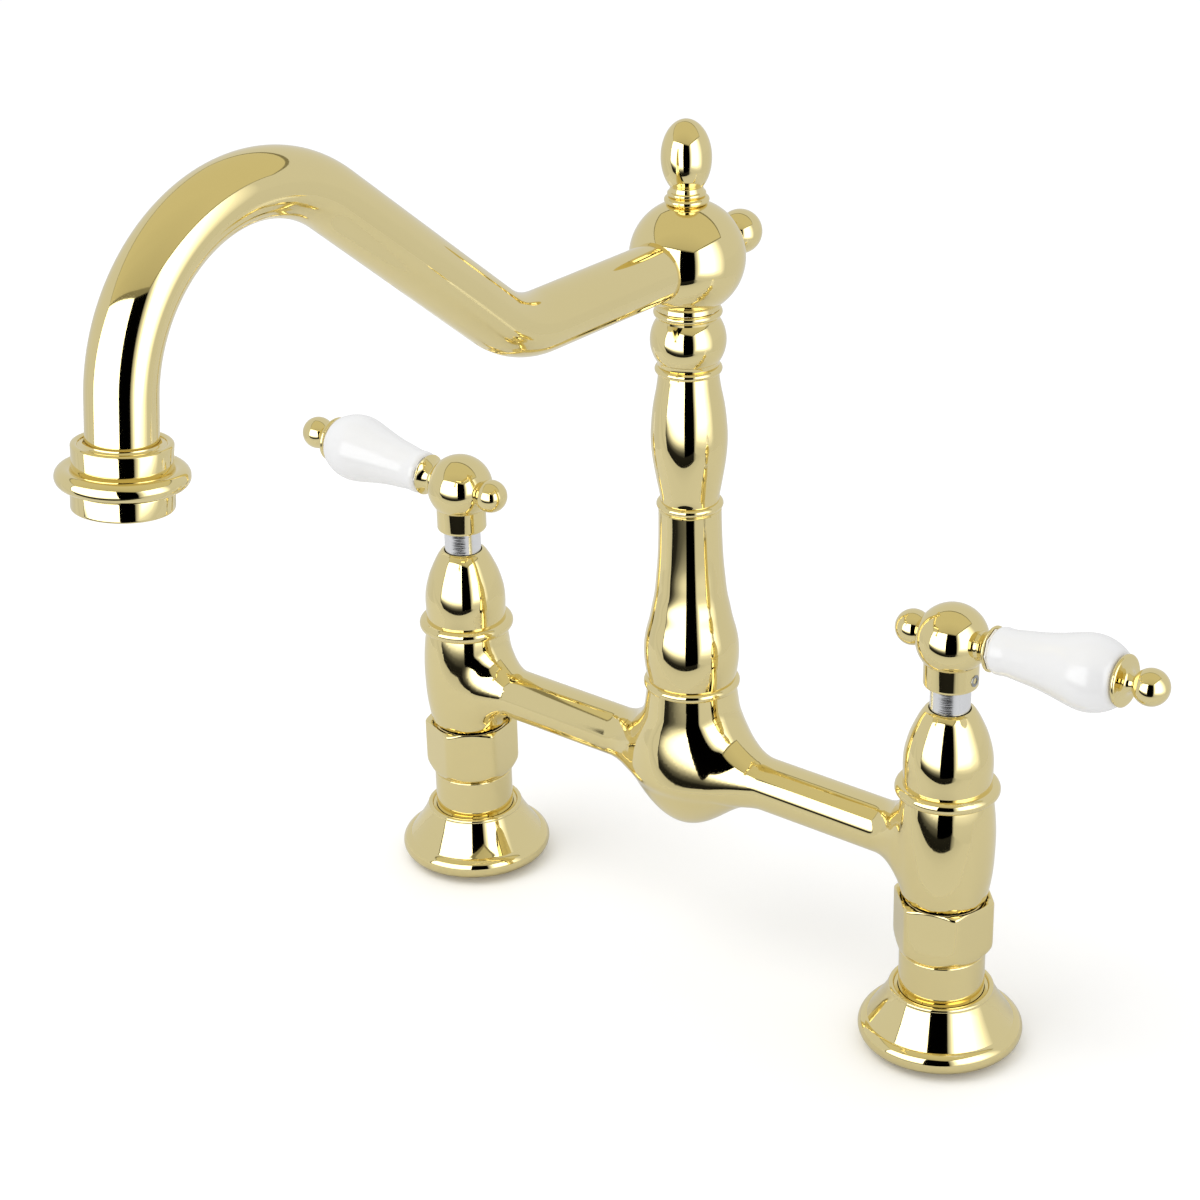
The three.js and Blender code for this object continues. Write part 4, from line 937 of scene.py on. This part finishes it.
# %% Tent boards
def tent_glow(name, colour):
    made = bpy.data.materials.new(name)
    made.use_nodes = True
    tree = made.node_tree
    tree.nodes.remove(tree.nodes["Principled BSDF"])
    light, level = tree.nodes.new("ShaderNodeEmission"), tree.nodes.new("ShaderNodeAttribute")
    light.inputs["Color"].default_value = (*colour, 1)
    level.attribute_name = "level"
    tree.links.new(level.outputs["Fac"], light.inputs["Strength"])
    tree.links.new(light.outputs[0], tree.nodes["Material Output"].inputs["Surface"])
    return made


PLAIN_CLOTH = tent_glow("plain_cloth", (1, 1, 1))
WARM_CLOTH = tent_glow("warm_cloth", (1, 0.93, 0.66))


def tent_board(name, rows, cloth=PLAIN_CLOTH):
    """A board of (x, y, z, brightness) corners that only reflections see."""
    made = board(name, rows, cloth)
    level = made.data.attributes.new("level", "FLOAT", "POINT")
    level.data.foreach_set("value", [corner[3] for row in rows for corner in row])
    for kind in ("camera", "diffuse", "shadow", "transmission", "volume_scatter"):
        setattr(made, f"visible_{kind}", False)
    print(f"{name}: {len(rows)} rows of {len(rows[0])} corners")


TABLE_Z, EDGE = -100, 411
tent_board("table", [
    [on_table(out, sideways, TABLE_Z, level) for sideways in (-6000, 6000)]
    for out, level in ((-6000, 0.7), (-300, 0.68), (60, 0.66), (170, 0.72), (300, 0.7), (EDGE, 0.6))
])
tent_board("beyond_table", [
    [on_table(EDGE, sideways, TABLE_Z, level)
     for sideways, level in ((-520, 0.01), (20, 0.01), (235, 0.01), (265, 0.3), (330, 0.6), (900, 0.66))],
    [on_table(600, sideways, TABLE_Z, level)
     for sideways, level in ((-856, 0.03), (29, 0.02), (345, 0.02), (390, 0.3), (480, 0.6), (1300, 0.66))],
])

# %% [markdown]
# The walls hang in front. They are white cloth lit from behind. The left one is dark at its foot, where the
# light doesn't reach, and ends at a dark pole. The right one takes the table's tone at its foot, and
# towards the gap it fades through grey to black, which the brass shows as cream and brown.

# %% Walls
WHITE, GREY, SHADE = 2.8, 0.72, 0.67
LEFT_END, GAP_LEFT, GAP_RIGHT, RIGHT_END = (-594, -859), (217, -500), (518, -403), (550, 249)
WALL_TOP = {LEFT_END: 720, GAP_LEFT: 541, GAP_RIGHT: 541, RIGHT_END: 600}
LEFT_RISE = [(-100, 0.03), (-60, 0.12), (-20, 0.45), (20, 1.2), (50, 2.2), (80, WHITE)]  # height, brightness
RIGHT_RISE = [(-100, 0.66), (-30, 0.7), (20, 1.0), (60, 1.8), (100, WHITE)]


def wall(name, start, end, fades, rise):
    """A wall that rises from its foot. The fades are (share of its length, brightness) pairs."""
    def column(share, level):
        x, y, top = (a + share * (b - a) for a, b in zip((*start, WALL_TOP[start]), (*end, WALL_TOP[end])))
        return [(x, y, z, min(level, light)) for z, light in (*rise, (top, WHITE))]

    tent_board(name, [column(share, level) for share, level in fades])


wall("tent_left", GAP_LEFT, LEFT_END, [(0, WHITE), (1, WHITE)], LEFT_RISE)
wall("tent_gap", GAP_LEFT, GAP_RIGHT, [(0, 0.0), (1, 0.0)], LEFT_RISE)
wall("tent_right", GAP_RIGHT, RIGHT_END, [
    (0, 0.0), (0.02, 0.3), (0.06, 0.6), (0.11, 0.9), (0.16, 1.5), (0.22, WHITE), (0.6, WHITE), (0.85, 1.2),
    (1, GREY),
], RIGHT_RISE)
tent_board("tent_pole", [[(LEFT_END[0] - x, LEFT_END[1] - y, z, 0.0) for x, y in ((0, 0), (50, 23))]
                         for z in (TABLE_Z, 740)])

# %% [markdown]
# The roof is a plain sheet from the walls' top edges to the back. It is darker over the gap, where no lamp
# stands above it. The seam that joins it to the walls shows on every ball as a thin dark line, so it is a
# narrow board of its own, just below the sheet.

# %% Roof
SEAM_WIDTH, SEAM_DROP, SEAM_LEVEL = 38, 5, 0.25
ROOF_BACK = [(-480, 122, 640), (35, 262, 640), (550, 402, 640)]


def roof():
    """A dim roof, a little darker over the gap, with a thin seam all round it."""
    front = [(*place, WALL_TOP[place]) for place in (LEFT_END, GAP_LEFT, GAP_RIGHT)]
    rows = []
    for share, levels in ((0, (SHADE, 0.5, 0.5)), (0.12, (SHADE, 0.56, 0.56)), (0.3, (SHADE, 0.62, 0.62)),
                          (0.5, (SHADE, SHADE, SHADE)), (1, (SHADE, SHADE, SHADE))):
        rows.append([
            (*(a + share * (b - a) for a, b in zip(near, far)), level)
            for near, far, level in zip(front, ROOF_BACK, levels)
        ])
    tent_board("tent_roof", rows, WARM_CLOTH)
    rim = [Vector(corner) for corner in front + ROOF_BACK[::-1]]
    middle = sum(rim, Vector()) / len(rim)
    drop = Vector((0, 0, SEAM_DROP))
    outer = [corner - drop for corner in rim]
    inner = [corner + (middle - corner).normalized() * SEAM_WIDTH - drop for corner in rim]
    tent_board("roof_seam", [
        [(*corner, SEAM_LEVEL) for corner in edge + edge[:1]] for edge in (outer, inner)
    ], WARM_CLOTH)


roof()

# %% [markdown]
# One large soft lamp above gives the floor a gentle shadow, so that the faucet stands on it. It is kept out
# of the reflections, where the boards already tell the story.

# %% Lamp
LAMP_PLACE, LAMP_AIM, LAMP_SIZE, LAMP_WATTS = Vector((-0.5, -0.7, 1.5)), Vector((0, 0, 0.15)), 1.2, 7.0


def soft_lamp():
    light = bpy.data.lights.new("roof_lamp", "AREA")
    light.shape = "DISK"
    light.size = LAMP_SIZE
    light.energy = LAMP_WATTS
    lamp = bpy.data.objects.new("roof_lamp", light)
    lamp.location = LAMP_PLACE
    lamp.rotation_euler = (LAMP_AIM - LAMP_PLACE).to_track_quat("-Z", "Y").to_euler()
    lamp.visible_glossy = False
    lamp.visible_camera = False
    bpy.context.scene.collection.objects.link(lamp)


soft_lamp()
print("lamp:", LAMP_WATTS, "W,", round((LAMP_AIM - LAMP_PLACE).length, 2), "m away")
